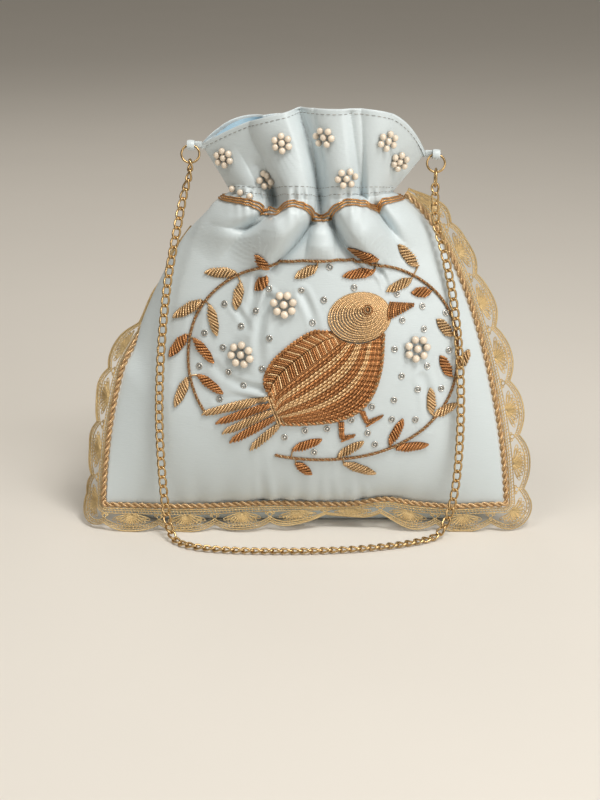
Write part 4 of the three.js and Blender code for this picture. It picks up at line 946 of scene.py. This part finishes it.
def seam_frames(cord):
    """Along the seam, from the left side round the bottom to the right: cord, lace's foot and lace's lie."""

    def side(which, share):
        step = 0.01
        seam = seam_point(which, share)
        rise = seam_point(which, np.minimum(1, share + step)) - seam_point(which, np.maximum(0, share - step))
        out = unit(np.stack([rise[..., 2] * which, 0 * share, -rise[..., 0] * which], -1))
        roll = roll_at(share) * (which < 0)
        even = mix(*LACE_LEAN[which], smooth(0.15, 0.7, share))
        leaning = lambda lean: unit(out + np.stack([0 * lean, lean, 0 * lean], -1))
        return seam, leaning(CORD_LEAN_ROLLED * roll), leaning(mix(even, LACE_LEAN_ROLLED, roll))

    def turn(near, far, share):
        parts = [mix(a, b, share[:, None]) for a, b in zip(near, far)]
        return parts[0], unit(parts[1]), unit(parts[2])

    rise = {w: np.linspace(0, TRIM_END[w], SIDE_STEPS) for w in (-1, 1)}
    across = np.linspace(0, 1, BOTTOM_STEPS)
    corners = {w: (seam_point(w, 0.0), CORD_BOTTOM, LACE_BOTTOM) for w in (-1, 1)}
    foot = {w: tuple(part[0] for part in side(w, np.zeros(1))) for w in (-1, 1)}
    bend = np.linspace(0, 1, BEND_STEPS)[1:-1]
    base = mix(seam_point(-1, 0.0), seam_point(1, 0.0), across[:, None])
    base[:, 2] += seam_wave(base[:, 0])
    level = np.ones((len(across), 1))
    parts = [
        [part[::-1] for part in side(-1, rise[-1])],
        turn(foot[-1], corners[-1], bend),
        (base, CORD_BOTTOM * level, LACE_BOTTOM * level),
        [part[::-1] for part in turn(foot[1], corners[1], bend)],
        side(1, rise[1]),
    ]
    seam, out, lie = (np.concatenate([part[k] for part in parts]) for k in range(3))
    ease = 1 + 0.2 * np.abs(out[:, 1:2])
    middle = seam + out * (cord + TRIM_GAP) * ease
    return middle, middle + lie * (cord + LACE_SEAT), lie


def lace_frame(foot, lie):
    """A function from millimetres along and across to points of the lace, and its length."""
    run = run_of(foot + lie * LACE_WIDTH / 2)
    near = lambda field, s: sampled(s, run, field)
    through = frames(foot, lie)[2]
    tuck = TUCK_SHARE * (1 - smooth(0, TUCK_REACH, np.abs(foot[:, 0] - TUCK_X))) * (lie[:, 1] < 0)

    def at(s, t):
        s, t = np.broadcast_arrays(np.asarray(s, float), np.asarray(t, float))
        narrow = mix(LACE_END_SHARE, 1, smooth(0, LACE_END, run[-1] - s))
        t = t * (1 - np.interp(s, run, tuck)) * narrow
        wave = 0.7 * np.sin(s / 4.3) * np.clip(t / LACE_WIDTH, 0, 1)
        place = near(foot, s) + near(lie, s) * t[..., None] + near(through, s) * wave[..., None]
        place[..., 2] = np.maximum(place[..., 2], LACE_LOW)
        return place

    return at, run[-1]


# Threads of one scallop, in millimetres above the foot of the lace or in from its edge
EDGE_ROWS = ((0, 1.5), (1.1, 1.0), (2.6, 1.1))  # inset, thickness
FOOT_ROWS = ((0.3, 1.4), (1.5, 1.0), (3.0, 1.0))  # height, thickness
PICOTS, PICOT_RADIUS, PICOT_INSET = 15, 0.75, 1.85
RUNGS, RUNG_HEIGHT, RUNG_RISE = 17, 1.65, 2.6
PETALS, PETAL_FAN, FAN_FOOT, FAN_INSET = 11, 1.25, 3.2, 3.0
PETAL_LOOPS = ((1.25, 1.0), (0.65, 0.82))  # half width, share of the length
GAP_RINGS = ((0, 4.6, 1.2), (0, 6.6, 0.7), (0.06, 3.9, 0.6), (-0.06, 3.9, 0.6))  # along, height, radius


def lace_threads(at, length, radius):
    """Scallops of lace: edge threads, a fan of loops, picot rings and a ladder along the foot."""
    lace = Weave()
    count = max(2, round(length / SCALLOP_PITCH))
    pitch = length / count
    turn = turns(16)

    def edge(s):
        return LACE_WIDTH - SCALLOP_DIP * (2 * np.abs((s / pitch) % 1 - 0.5)) ** 2.4

    def stitch(s, t, thick=1.0, closed=False):
        lace.tube(at(s, t), radius * thick, 4, closed=closed)

    for i in range(count):
        start = i * pitch
        s = np.linspace(start, start + pitch, 44)
        for inset, thick in EDGE_ROWS:
            stitch(s, edge(s) - inset, thick)
        for t, thick in FOOT_ROWS:
            stitch(s, 0 * s + t, thick)
        picots = start + pitch * (np.arange(PICOTS) + 0.5) / PICOTS
        loops_s = picots[:, None] + PICOT_RADIUS * np.cos(turn)
        loops_t = edge(picots)[:, None] - PICOT_INSET + PICOT_RADIUS * np.sin(turn)
        stitch(loops_s, loops_t, 0.8, closed=True)
        rungs = start + pitch * (np.arange(RUNGS) + 0.5) / RUNGS
        slant = np.linspace(-0.5, 0.5, 4)
        stitch(rungs[:, None] + slant, RUNG_HEIGHT + 0 * rungs[:, None] + slant * RUNG_RISE, 0.8)
        middle = start + pitch / 2
        for petal in np.linspace(-1, 1, PETALS):
            angle = petal * PETAL_FAN
            tip = edge(middle + petal * pitch * 0.42) - FAN_INSET
            long = (tip - FAN_FOOT) / max(0.35, math.cos(angle))
            long = min(long, pitch * 0.44 / max(0.2, abs(math.sin(angle))))
            for wide, share in PETAL_LOOPS:
                out = 0.5 - 0.5 * np.cos(turn)
                side = wide * np.sin(turn) * (0.35 + 0.65 * out)
                reach = 0.6 + (long * share - 0.6) * out
                stitch(
                    middle + reach * math.sin(angle) + side * math.cos(angle),
                    FAN_FOOT + reach * math.cos(angle) - side * math.sin(angle), 0.9, closed=True)
        for where, high, size in GAP_RINGS:
            stitch(start + where * pitch + size * np.cos(turn), high + size * np.sin(turn), 1.0, closed=True)
    return lace


BAND_SHARE, BAND_STEP, BAND_WIRES, BAND_RADIUS = 0.94, 0.0125, 3, 0.46
BAND_OFF = 0.7  # from the cloth to the middle of a row
BAND_CLIMB = 0.003  # the rows climb this much per millimetre that a gather stands out


def band_line(panel, u, slip):
    """One copper row round the neck: higher on the gathers, lower in the creases between them."""
    front = panel == "front"
    level = np.full_like(u, BAND_SHARE)
    place = cloth_point(panel, u, level if front else back_rise(level))
    lift = fold_lift(FRONT_FOLDS if front else BACK_FOLDS, place[:, 0], place[:, 2])
    share = level + slip + BAND_CLIMB * np.clip(lift, -8, 24) * (1 - np.abs(u) ** 8)
    v = share if front else back_rise(share)
    return spaced(cloth_point(panel, u, v) + cloth_normal(panel, u, v) * BAND_OFF, 0.3)


class POTLI_OT_trims(Operator):
    """Sew on the twisted edge cord, the lace and the copper rows round the neck"""

    bl_idname = "potli.trims"
    bl_label = "Cord, Lace and Neck Band"

    def execute(self, context):
        metal = context.scene.potli_metal
        cord = metal.cord / MM
        middle, foot, lie = seam_frames(cord)
        path = spaced(middle, 0.5)
        rope = Weave()
        for strand in twisted(path, cord * 0.5, metal.cord_pitch / MM):
            rope.tube(strand, cord * 0.55, 8)
        twist = wire_material("cord_thread", metal.gold, 0.7, 0.28, dark=0.7)
        rope.build("edge_twist", twist, BAG, "gold_thread", ["edge_cord"])
        lace = lace_threads(*lace_frame(foot, lie), metal.lace_thread / MM)
        open_work = wire_material("lace_thread", metal.lace, 0.8, 0.36, dark=0.75)
        lace.build("lace_scallops", open_work, BAG, "gold_lace", ["lace_trim"])
        band = Weave()
        u = np.linspace(-0.995, 0.995, 520)
        for row in range(BAND_WIRES):
            for panel, up in FACING.items():
                line = band_line(panel, u, (row - (BAND_WIRES - 1) / 2) * BAND_STEP)
                band.tube(line, BAND_RADIUS, 8, up=up)
        bright = wire_material("band_thread", shade(metal.copper, 1.5), 0.8, 0.24, dark=0.6)
        band.build("neck_wires", bright, BAG, "copper_thread", ["neck_band"])
        return {"FINISHED"}


# Chain

LEFT_CORNER, RIGHT_CORNER = seam_point(-1, 2.0), seam_point(1, 2.0)
SWING = unit(RIGHT_CORNER - LEFT_CORNER)
DOWN = np.array((SWING[2], 0, -SWING[0]))
HANG = DOWN * math.cos(RING_LEAN) + np.cross(SWING, DOWN) * math.sin(-RING_LEAN)
LOOP_REACH = RING_RADIUS + RING_WIRE + TRIM_GAP
LOOP_FORWARD = LOOP_BORE + LOOP_WALL / 2
LEFT_LOOP = LEFT_CORNER - SWING * LOOP_REACH + OUT * LOOP_FORWARD
RIGHT_LOOP = RIGHT_CORNER + SWING * LOOP_REACH + OUT * LOOP_FORWARD
LEFT_RING = LEFT_LOOP + HANG * RING_RADIUS
RIGHT_RING = RIGHT_LOOP + HANG * RING_RADIUS
RIGHT_LINK = RIGHT_RING + HANG * (2 * RING_RADIUS - 2 * RING_WIRE - LINK_FREE)


def chain_route(front):
    """Down over the belly, along the floor in front of the bag and up again."""

    def over(x, y, z):
        return x, min(y, front.lay((x, z))[1] - CHAIN_CLEAR), z

    def in_ring(ring, below):
        return tuple(ring + HANG * (RING_RADIUS - 2 * RING_WIRE - LINK_FREE + below))

    return catmull_rom([
        in_ring(LEFT_RING, 0), in_ring(LEFT_RING, LINK_LENGTH),
        over(-65, -9, 184), over(-69, -14, 165), over(-73.5, -19, 142), over(-76.5, -25, 118),
        over(-78.5, -31, 92), over(-79.3, -35, 64), over(-78.5, -37, 36), over(-77, -39.5, 18),
        (-75, -44, 7), (-71, -52, FLOOR_LIE), (-62, -60, FLOOR_LIE), (-45, -65, FLOOR_LIE),
        (-3, -67, FLOOR_LIE), (34, -63, FLOOR_LIE), (62, -54, FLOOR_LIE), (73, -47, FLOOR_LIE + 1),
        (79, -42, 11), over(82.5, -39, 26), over(84.5, -36, 50), over(84.7, -33, 77),
        over(83.3, -27, 104), over(80, -20, 130), over(75, -16, 154), over(70.5, -11, 170),
        in_ring(RIGHT_LINK, LINK_LENGTH), in_ring(RIGHT_LINK, 0),
    ], steps=60)


LINK_PITCH = 5.3
LINK_HALF, LINK_WIDE, LINK_TWIST = 3.15, 1.85, 0.72
ROLL_OUT, ROLL_LEFT, ROLL_RIGHT = 40, 1.2, 0.3  # links are turned about the chain near its ends


def chain_links(route, wire):
    """Curb links, each a twisted oval, lying flat on what carries the chain."""
    run = run_of(route)
    count = round((run[-1] - 2 * LINK_HALF) / LINK_PITCH) + 1
    at = np.linspace(LINK_HALF, run[-1] - LINK_HALF, count)
    point = lambda s: sampled(s, run, route)
    middle = point(at)
    along = unit(point(at + 1) - point(at - 1))
    lying = 1 - smooth(4, 14, middle[:, 2])
    face = np.stack([0 * lying, lying - 1, lying], -1)
    face = unit(face - along * (face * along).sum(-1, keepdims=True))
    roll = ROLL_LEFT * (1 - smooth(0, ROLL_OUT, at)) + ROLL_RIGHT * (1 - smooth(0, ROLL_OUT, run[-1] - at))
    cos, sin = np.cos(roll)[:, None], np.sin(roll)[:, None]
    side, face = (v * cos + np.cross(along, v) * sin for v in (np.cross(along, face), face))
    turn = turns(24)
    s, w = squared(np.cos(turn), 0.8), squared(np.sin(turn), 0.75) * LINK_WIDE
    twist = LINK_TWIST * s
    lay = lambda v, share: v[:, None, :] * share[None, :, None]
    path = middle[:, None] + lay(along, s * LINK_HALF)
    path = path + lay(side, w * np.cos(twist)) + lay(face, w * np.sin(twist))
    return sweep(path, wire, 8, up=np.broadcast_to(face[:, None], path.shape), closed=True)


class POTLI_OT_chain(Operator):
    """Hang the curb chain from its rings and cloth loops"""

    bl_idname = "potli.chain"
    bl_label = "Chain and Rings"

    def execute(self, context):
        metal = context.scene.potli_metal
        polished = metal_material("polished_gold", metal.chain, 0.2)
        links = Weave().add(chain_links(chain_route(MADE["front"]), metal.wire / MM), round_rows=True)
        runs = [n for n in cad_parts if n.startswith("chain_")]
        links.build("curb_chain", polished, CHAIN, "gold_chain", runs)
        rings = Weave()
        across = np.cross(SWING, HANG)
        for middle, flat in ((LEFT_RING, across), (RIGHT_RING, across), (RIGHT_LINK, SWING)):
            rings.tube(circles(middle[None], RING_RADIUS, flat, 40), RING_WIRE, 10, up=flat, closed=True)
        stands_for = ["left_ring", "right_ring_upper", "right_ring_lower"]
        rings.build("chain_rings", polished, CHAIN, "gold_chain", stands_for)
        loops = Weave()
        for middle, inner in ((LEFT_LOOP, 1), (RIGHT_LOOP, -1)):
            share = np.linspace(-1, 1, 9)
            edge = share[:, None] * SWING * LOOP_LENGTH / 2 + middle
            for reach in (LOOP_BORE + LOOP_WALL, LOOP_BORE):
                bulge = LOOP_BULGE * (1 - share**2) * (reach > LOOP_BORE)
                loops.add(sweep(edge, reach + bulge, 24, up=DOWN))
            strip = middle - OUT * LOOP_FORWARD + np.linspace(0, LOOP_REACH, 9)[:, None] * SWING * inner
            turn = turns(12)[:, None]
            loops.add(strip[:, None] + STRIP_THICK * np.cos(turn) * OUT + STRIP_WIDE * np.sin(turn) * DOWN)
        loops.build("corner_loops", MADE["satin"], BAG, "satin", ["left_loop", "right_loop"])
        return {"FINISHED"}


# Embroidery

def wreath_point(degrees):
    """Points of the stem, as x and z."""
    angle = np.radians(degrees)
    power = 2 / WREATH["square"]
    return np.stack([
        WREATH["x"] + WREATH["half_width"] * squared(np.cos(angle), power),
        WREATH["z"] + WREATH["half_height"] * squared(np.sin(angle), power),
    ], -1)


def wreath_out(degrees):
    """Directions away from the stem, on its outer side."""
    run = wreath_point(degrees + 0.5) - wreath_point(degrees - 0.5)
    return unit(np.stack([run[..., 1], -run[..., 0]], -1))


BAR_SPACE = 2.45  # from bar to bar, in radii of the thread
BAR_TONES = (0.55, 1)


def slanted_bars(front, weave, base, tip, shape, thread, slant=4.2, crown=0.9):
    """A leaf or feather: bars of coiled wire laid side by side at a slant, higher along the middle."""
    base, tip = np.asarray(base, float), np.asarray(tip, float)
    length = np.linalg.norm(tip - base)
    along = (tip - base) / length
    side = np.array((-along[1], along[0]))
    share, half = np.array(shape).T
    width = lambda a: np.interp(a / length, share, half)
    step = BAR_SPACE * thread * math.hypot(1, slant / (2 * half.max()))
    start = np.arange(-slant * 0.5, length - slant * 0.5, step)[:, None]
    t = np.linspace(0, 1, 8)
    low, high = np.clip(start, 0, length), np.clip(start + slant, 0, length)
    a = mix(low, high, t)
    room = np.maximum(width(a), 0.05)
    b = np.clip(mix(-width(low), width(high), t), -room, room)
    xz = base + along * a[..., None] + side * b[..., None]
    lift = 0.35 + crown * np.sqrt(np.clip(1 - (b / (room + 0.4)) ** 2, 0, 1))
    taper = 0.45 + 0.55 * np.sqrt(np.clip(1 - (2 * t - 1) ** 6, 0, 1))
    tones = weave.random.uniform(*BAR_TONES, len(xz))
    front.couch(weave, xz, lift, thread * taper, tone=tones)
    # a dark sheet under the bars, at tone 0: painted shade in the gaps between them
    a, b = np.linspace(0, length, 16)[:, None], np.linspace(-0.9, 0.9, 7)
    shade_backing = base + along * (a + 0 * b)[..., None] + side * (width(a) * b)[..., None]
    weave.add(front.lay(shade_backing, 0.15 + crown * 0.6 * (1 - b**2)), round_columns=False, tone=0)


def couched_row(front, weave, path, thread, lift, stitch=2.6):
    """One row of wire cut into short lengths, laid along a path."""
    xz = spaced(path, 0.35)
    beads = 1 - 0.4 * np.abs(np.cos(math.pi * run_of(xz) / stitch)) ** 10
    front.couch(weave, xz, lift, thread * beads, 5)


BODY_ROWS = 30
LIGHT_ROWS = (11, 12, 15, 16, 17, 21, 22)
BODY_CROWN = 1.6
WING_SHARE = 0.27  # of the body's width
WING_BARS, WING_SLANT = 46, 0.055
WING_SIDES = ((0.02, 0.14), (0.28, 0.15))  # across the body, from the edge of the wing to its middle
WING_TONES = (1, 0.1, 0.8, 0.35)
EDGE_BEAD, EDGE_BEAD_STEP = 1.15, 2.0
TAIL_BARS = (-1.6, 0, 1.6)


def bird_body(front, weaves, thread):
    """Rows of wire that sweep from the nape to the tail, a herringbone wing and a roped edge."""
    wing, breast = catmull_rom(WING_EDGE, steps=8), catmull_rom(BREAST_EDGE, steps=8)
    stations = np.linspace(0, 1, len(wing))

    def at(station, across):
        station, across = np.broadcast_arrays(np.asarray(station, float), np.asarray(across, float))
        near = lambda edge: sampled(station, stations, edge)
        xz = mix(near(wing), near(breast), across[..., None])
        angle = np.radians(mix(*NAPE, across))
        nape = HEAD_MIDDLE + (np.array(HEAD_HALF) + 0.7) * np.stack([np.cos(angle), np.sin(angle)], -1)
        return xz + smooth(0.5, 1, station)[..., None] * (nape - mix(wing[-1], breast[-1], across[..., None]))

    crown = lambda across: 0.3 + BODY_CROWN * 4 * across * (1 - across)
    spread = np.linalg.norm(wing - breast, axis=-1) / BODY_ROWS
    for row in range(math.ceil(WING_SHARE * BODY_ROWS), BODY_ROWS):
        share = (row + 0.5) / BODY_ROWS
        path = at(stations, share)
        reach = run_of(path) / run_of(path)[-1]
        xz = spaced(path, 0.35)
        thick = np.interp(np.linspace(0, 1, len(xz)), reach, np.minimum(thread * 1.5, spread * 0.56))
        beads = 1 - 0.55 * np.abs(np.cos(math.pi * run_of(xz) / 3.0 + row * 1.3)) ** 7
        weave, tone = (weaves[GOLD], 0.95) if row in LIGHT_ROWS else (weaves[COPPER], 0.3 + 0.6 * (row % 2))
        front.couch(weave, xz, crown(share), thick * beads, 5, tone=tone)
    # a dark sheet under the rows, at tone 0: painted shade in the gaps between them
    across = np.linspace(0.01, 0.99, 40)
    shade_backing = front.lay(at(stations[:, None], across), crown(across) - 0.3)
    weaves[COPPER].add(shade_backing, round_columns=False, tone=0)
    t = np.linspace(0, 1, 8)
    for i, station in enumerate(np.linspace(0.0, 0.94, WING_BARS)):
        weave, tone = weaves[COPPER if i % 4 else GOLD], WING_TONES[i % 4]
        for low, high in WING_SIDES:
            across = mix(low, high, t)
            xz = at(station + WING_SLANT * t, across)
            front.couch(weave, xz, crown(across), thread, 5, tone=tone)
    edge = spaced(wing, EDGE_BEAD_STEP)
    front.sew_balls(weaves[COPPER], edge, 0.8, EDGE_BEAD, flat=0.8)
    edge = at(stations, 1.0)
    border = spaced(np.vstack([edge[:1] + (-1.5, 0.8), edge]), 0.4)
    for strand, metal in zip(twisted(front.lay(border, 0.9), 0.55, 4.2), (GOLD, COPPER)):
        weaves[metal].tube(strand, 0.62, 6)
    for slip in TAIL_BARS:
        ends = np.array((-18.6 + slip, 81)), np.array((-12.9 + slip, 66))
        bar = mix(*ends, np.linspace(0, 1, 20)[:, None])
        couched_row(front, weaves[GOLD], bar, thread * 1.3, 1.3, 3.4)


HEAD_ROWS = 13
EYE_RINGS = ((COPPER, 2.5, 0.4), (GOLD, 1.7, 0.45))  # metal, radius, radius of the wire


def bird_head(front, weaves, thread):
    """Rings of wire that run round the eye and widen to the head's outline."""
    turn = turns(120)
    for row in range(HEAD_ROWS):
        share = (row + 1.4) / (HEAD_ROWS + 0.4)
        middle = mix(np.array(EYE, float), np.array(HEAD_MIDDLE, float), share)
        half = mix(np.array((1.4, 1.4)), np.array(HEAD_HALF, float), share)
        xz = middle + half * np.stack([np.cos(turn), np.sin(turn)], -1)
        count = max(6, round(run_of(xz)[-1] / 2.4))
        beads = 1 - 0.35 * np.abs(np.cos(turn * count / 2 + row)) ** 10
        lift = 0.35 + 0.9 * (1 - share**2)
        wire, tone = thread * 1.12 * beads, 0.95 if row % 2 else 0.55
        front.couch(weaves[GOLD], xz, lift, wire, closed=True, tone=tone)
    eye = np.array([EYE], float)
    for metal, radius, wire in EYE_RINGS:
        front.sew_rings(weaves[metal], eye, 1.7, radius, wire, 24, 8)
    front.sew_balls(weaves[COPPER], eye, 1.5, 1.0)


def bird_beak(front, weaves, thread):
    """Bent bars that shorten towards the tip."""
    base, tip = (np.array(p, float) for p in BEAK)
    t = np.linspace(-1, 1, 9)
    for share in np.linspace(0, 0.94, 11):
        half = 4.4 * (1 - share) ** 0.9 + 0.3
        middle = mix(base, tip, share)
        xz = middle + np.stack([-0.9 * (1 - t**2) + 0.12 * t * half, t * half], -1)
        lift = 0.5 + (1 - t**2) * (1 - share)
        front.couch(weaves[COPPER], xz, lift, thread * 1.15)


def bird_legs(front, weaves, thread):
    """Three rows of wire down each leg and three along its foot."""
    for hip, heel, toe in LEGS:
        hip, heel, toe = (np.array(p, float) for p in (hip, heel, toe))
        t = np.linspace(0, 1, 14)[:, None]
        for slip in (-1.1, 0, 1.1):
            leg = mix(hip + (slip, 0.6), heel + (slip * 0.8, 0), t)
            couched_row(front, weaves[COPPER], leg, thread * 1.15, 0.7, 3)
        for drop in (-2.2, -0.6, 0.9):
            foot = mix(heel + (-0.6, drop), toe + (drop * 0.3, drop * 0.35), t)
            couched_row(front, weaves[COPPER], foot, thread * 1.1, 0.7, 3)


class POTLI_OT_embroidery(Operator):
    """Work the wreath and the bird in gold and copper thread"""

    bl_idname = "potli.embroidery"
    bl_label = "Wreath and Bird"

    def execute(self, context):
        metal = context.scene.potli_metal
        front, thread = MADE["front"], metal.thread / MM
        paint = {
            GOLD: wire_material("gold_thread", metal.gold, 0.9, 0.26),
            COPPER: wire_material("copper_thread", metal.copper, 0.9, 0.26),
        }
        slots = {GOLD: "gold_thread", COPPER: "copper_thread"}
        stem = Weave()
        line = spaced(wreath_point(np.linspace(WREATH["start"], WREATH["end"], 400)), 0.35)
        rope = twisted(front.lay(line, 0.7), 0.42, 3.4, up=front.out(line))
        stem.tube(rope[0], 0.52, 6)
        leaves = {GOLD: Weave(), COPPER: Weave()}
        leaves[COPPER].tube(rope[1], 0.5, 6)
        nodes = {GOLD: [], COPPER: []}
        for i, (degrees, away, run, which) in enumerate(LEAVES, 1):
            base = wreath_point(degrees) + wreath_out(degrees) * away
            slanted_bars(front, leaves[which], base, base + run, LEAF_SHAPE, thread)
            nodes[which].append(f"leaf_{i:02d}")
            stalk = mix(wreath_point(degrees), base, np.linspace(0, 1, 6)[:, None])
            front.couch(stem, stalk, 0.5, 0.42)
        for base, tip, which in FOLD_LEAVES:
            slanted_bars(front, leaves[which], base, tip, LEAF_SHAPE, thread)
        stem.build("stem_twist", paint[GOLD], BAG, slots[GOLD], ["wreath_stem"])
        bird = {GOLD: Weave(), COPPER: Weave()}
        bird_body(front, bird, thread)
        bird_head(front, bird, thread)
        bird_beak(front, bird, thread)
        bird_legs(front, bird, thread)
        for i, (root, tip) in enumerate(FEATHERS):
            slanted_bars(front, bird[COPPER if i % 2 else GOLD], root, tip, FEATHER_SHAPE, thread, 6)
        for which in (GOLD, COPPER):
            leaves[which].build(f"leaves_{which}", paint[which], BAG, slots[which], nodes[which])
        parts = {
            GOLD: ["bird_head", "tail_feather_1", "tail_feather_3", "tail_feather_5"],
            COPPER: [
                "bird_body", "bird_beak", "bird_leg_1", "bird_leg_2", "tail_feather_2", "tail_feather_4",
            ],
        }
        for which in (GOLD, COPPER):
            bird[which].build(f"bird_{which}", paint[which], BAG, slots[which], parts[which])
        return {"FINISHED"}


WREATH_PETALS, FRILL_PETALS = 7, 6
PEARL_FLAT = 0.9  # pearls are a little flatter than round
PEARL_SEAT = 0.75  # from the cloth to a pearl's middle, in its radius
SEQUIN_WIRE = 0.38


class POTLI_OT_beads(Operator):
    """Sew on the pearl flowers, the loose pearls and the sequins"""

    bl_idname = "potli.beads"
    bl_label = "Pearls and Sequins"

    def execute(self, context):
        beads = context.scene.potli_beads
        front = MADE["front"]
        pearls, sequins = Weave(), Weave()
        radius = beads.pearl_radius / MM
        small = radius * beads.frill_share
        frill = [
            cloth_point("front", np.array([u]), np.array([v]))[0][[0, 2]]
            for u, v in FRILL_FLOWERS + FOLD_FLOWERS
        ]
        flowers = [(np.array(p), radius, WREATH_PETALS) for p in WREATH_FLOWERS]
        flowers += [(p, small, FRILL_PETALS) for p in frill]
        for middle, size, petals in flowers:
            turn = turns(petals) + 0.3 * middle[0]
            ring = size / math.sin(math.pi / petals) * 1.02
            around = middle + ring * np.stack([np.cos(turn), np.sin(turn)], -1)
            xz = np.vstack([middle, around])
            front.sew_balls(pearls, xz, size * PEARL_SEAT, size, PEARL_FLAT, 10, 16)
        front.sew_balls(pearls, NECK_PEARLS, small * PEARL_SEAT, small, PEARL_FLAT, 10, 16)
        stands_for = [f"pearl_flower_{i}" for i in range(1, 10)]
        pearls.build("pearls", pearl_material("pearl", beads.pearl, radius), BAG, "pearl", stands_for)
        size = beads.sequin_radius / MM
        front.sew_rings(sequins, SEQUINS, 0.4, size, SEQUIN_WIRE, 18, 6)
        front.sew_balls(sequins, SEQUINS, 0.7, size * 0.5, rings=6, sides=10)
        sequins.build("sequins", metal_material("silver_bead", beads.silver, 0.16), BAG, "pearl")
        return {"FINISHED"}


STITCH_ROWS = (1.05, 1.14, 1.955)  # two along the drawstring channel and one below the rim
STITCH_RADIUS = 0.17
STITCH_TAPER = np.array((0.4, 0.9, 1, 1, 0.9, 0.4))
STITCH_SPACE = 1.45  # from stitch to stitch, in lengths


class POTLI_OT_stitches(Operator):
    """Run the hem stitches below the rim and along the drawstring channel"""

    bl_idname = "potli.stitches"
    bl_label = "Hem Stitches"

    def execute(self, context):
        cloth = context.scene.potli_cloth
        length = cloth.stitch / MM
        thread = Weave()
        u = np.linspace(-0.985, 0.985, 600)
        for panel, up in FACING.items():
            for share in STITCH_ROWS:
                v = np.full_like(u, share)
                line = spaced(cloth_point(panel, u, v) + cloth_normal(panel, u, v) * 0.12, 0.25)
                run = run_of(line)
                starts = np.arange(0.5, run[-1] - length, length * STITCH_SPACE)
                at = starts[:, None] + np.linspace(0, length, len(STITCH_TAPER))
                thread.tube(sampled(at, run, line), STITCH_RADIUS * STITCH_TAPER, 4, up=up)
        gray = stitch_material("stitch_thread", (0.24, 0.25, 0.25), (0.42, 0.41, 0.38))
        thread.build("hem_stitches", gray, BAG, "satin")
        return {"FINISHED"}


FLOOR_REACH = 20.0
SENSOR = 36
LIGHTS = {  # place, size, colour
    "key": ((0.42, -0.6, 1.4), 0.5, (1.0, 0.97, 0.92)),
    "side": ((1.0, -0.9, 0.6), 0.9, (1.0, 0.97, 0.93)),
    "top": ((-0.6, -0.5, 1.35), 0.6, (1.0, 0.95, 0.88)),
    "rim": ((-0.3, 1.0, 1.0), 0.8, (1.0, 0.95, 0.88)),
}


class POTLI_OT_stage(Operator):
    """Set up the floor, the lights and the camera"""

    bl_idname = "potli.stage"
    bl_label = "Floor, Light and Camera"

    def execute(self, context):
        stage = context.scene.potli_stage
        scene = context.scene
        mesh = bpy.data.meshes.new("floor")
        corners = [(x * FLOOR_REACH, y * FLOOR_REACH, 0) for x, y in ((-1, -1), (1, -1), (1, 1), (-1, 1))]
        mesh.from_pydata(corners, [], [(0, 1, 2, 3)])
        mesh.materials.append(floor_material("floor", stage.floor))
        floor = bpy.data.objects.new("floor", mesh)
        scene.collection.objects.link(floor)
        world = bpy.data.worlds.new("studio")
        world.use_nodes = True
        background = world.node_tree.nodes["Background"].inputs
        background["Color"].default_value = (*stage.world, 1)
        background["Strength"].default_value = stage.world_strength
        scene.world = world
        middle = Vector(stage.aim)
        power = {"key": stage.key, "side": stage.side, "top": stage.top, "rim": stage.top / 2}
        for name, (place, size, color) in LIGHTS.items():
            data = bpy.data.lights.new(name, "AREA")
            data.size, data.energy, data.color = size, power[name], color
            lamp = bpy.data.objects.new(name, data)
            lamp.location = place
            lamp.rotation_euler = (middle - Vector(place)).to_track_quat("-Z", "Y").to_euler()
            scene.collection.objects.link(lamp)
        data = bpy.data.cameras.new("camera")
        data.lens, data.sensor_width = stage.lens, SENSOR
        camera = bpy.data.objects.new("camera", data)
        back = Vector((0, -math.cos(stage.elevation), math.sin(stage.elevation)))
        camera.location = middle + back * stage.distance
        camera.rotation_euler = (-back).to_track_quat("-Z", "Y").to_euler()
        scene.collection.objects.link(camera)
        scene.camera = camera
        scene.view_settings.view_transform = "Standard"
        return {"FINISHED"}


STEPS = (
    POTLI_OT_cloth, POTLI_OT_trims, POTLI_OT_chain, POTLI_OT_embroidery, POTLI_OT_beads, POTLI_OT_stitches,
    POTLI_OT_stage,
)


class POTLI_PT_sidebar(Panel):
    """Lists the steps that dress the bag"""

    bl_label = "Potli Bag"
    bl_idname = "POTLI_PT_sidebar"
    bl_space_type = "VIEW_3D"
    bl_region_type = "UI"
    bl_category = "Potli"

    def draw(self, context):
        for step in STEPS:
            self.layout.operator(step.bl_idname)
        for name, kind in SETTINGS.items():
            box = self.layout.box()
            for prop in kind.__annotations__:
                box.prop(getattr(context.scene, name), prop)


CLASSES = (*SETTINGS.values(), *STEPS, POTLI_PT_sidebar)


def register():
    for item in CLASSES:
        bpy.utils.register_class(item)
    for name, kind in SETTINGS.items():
        setattr(bpy.types.Scene, name, PointerProperty(type=kind))


def unregister():
    for name in SETTINGS:
        delattr(bpy.types.Scene, name)
    for item in reversed(CLASSES):
        bpy.utils.unregister_class(item)


def main():
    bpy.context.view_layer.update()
    register()
    for step in STEPS:
        group, name = step.bl_idname.split(".")
        getattr(getattr(bpy.ops, group), name)()


if __name__ == "__main__":
    main()
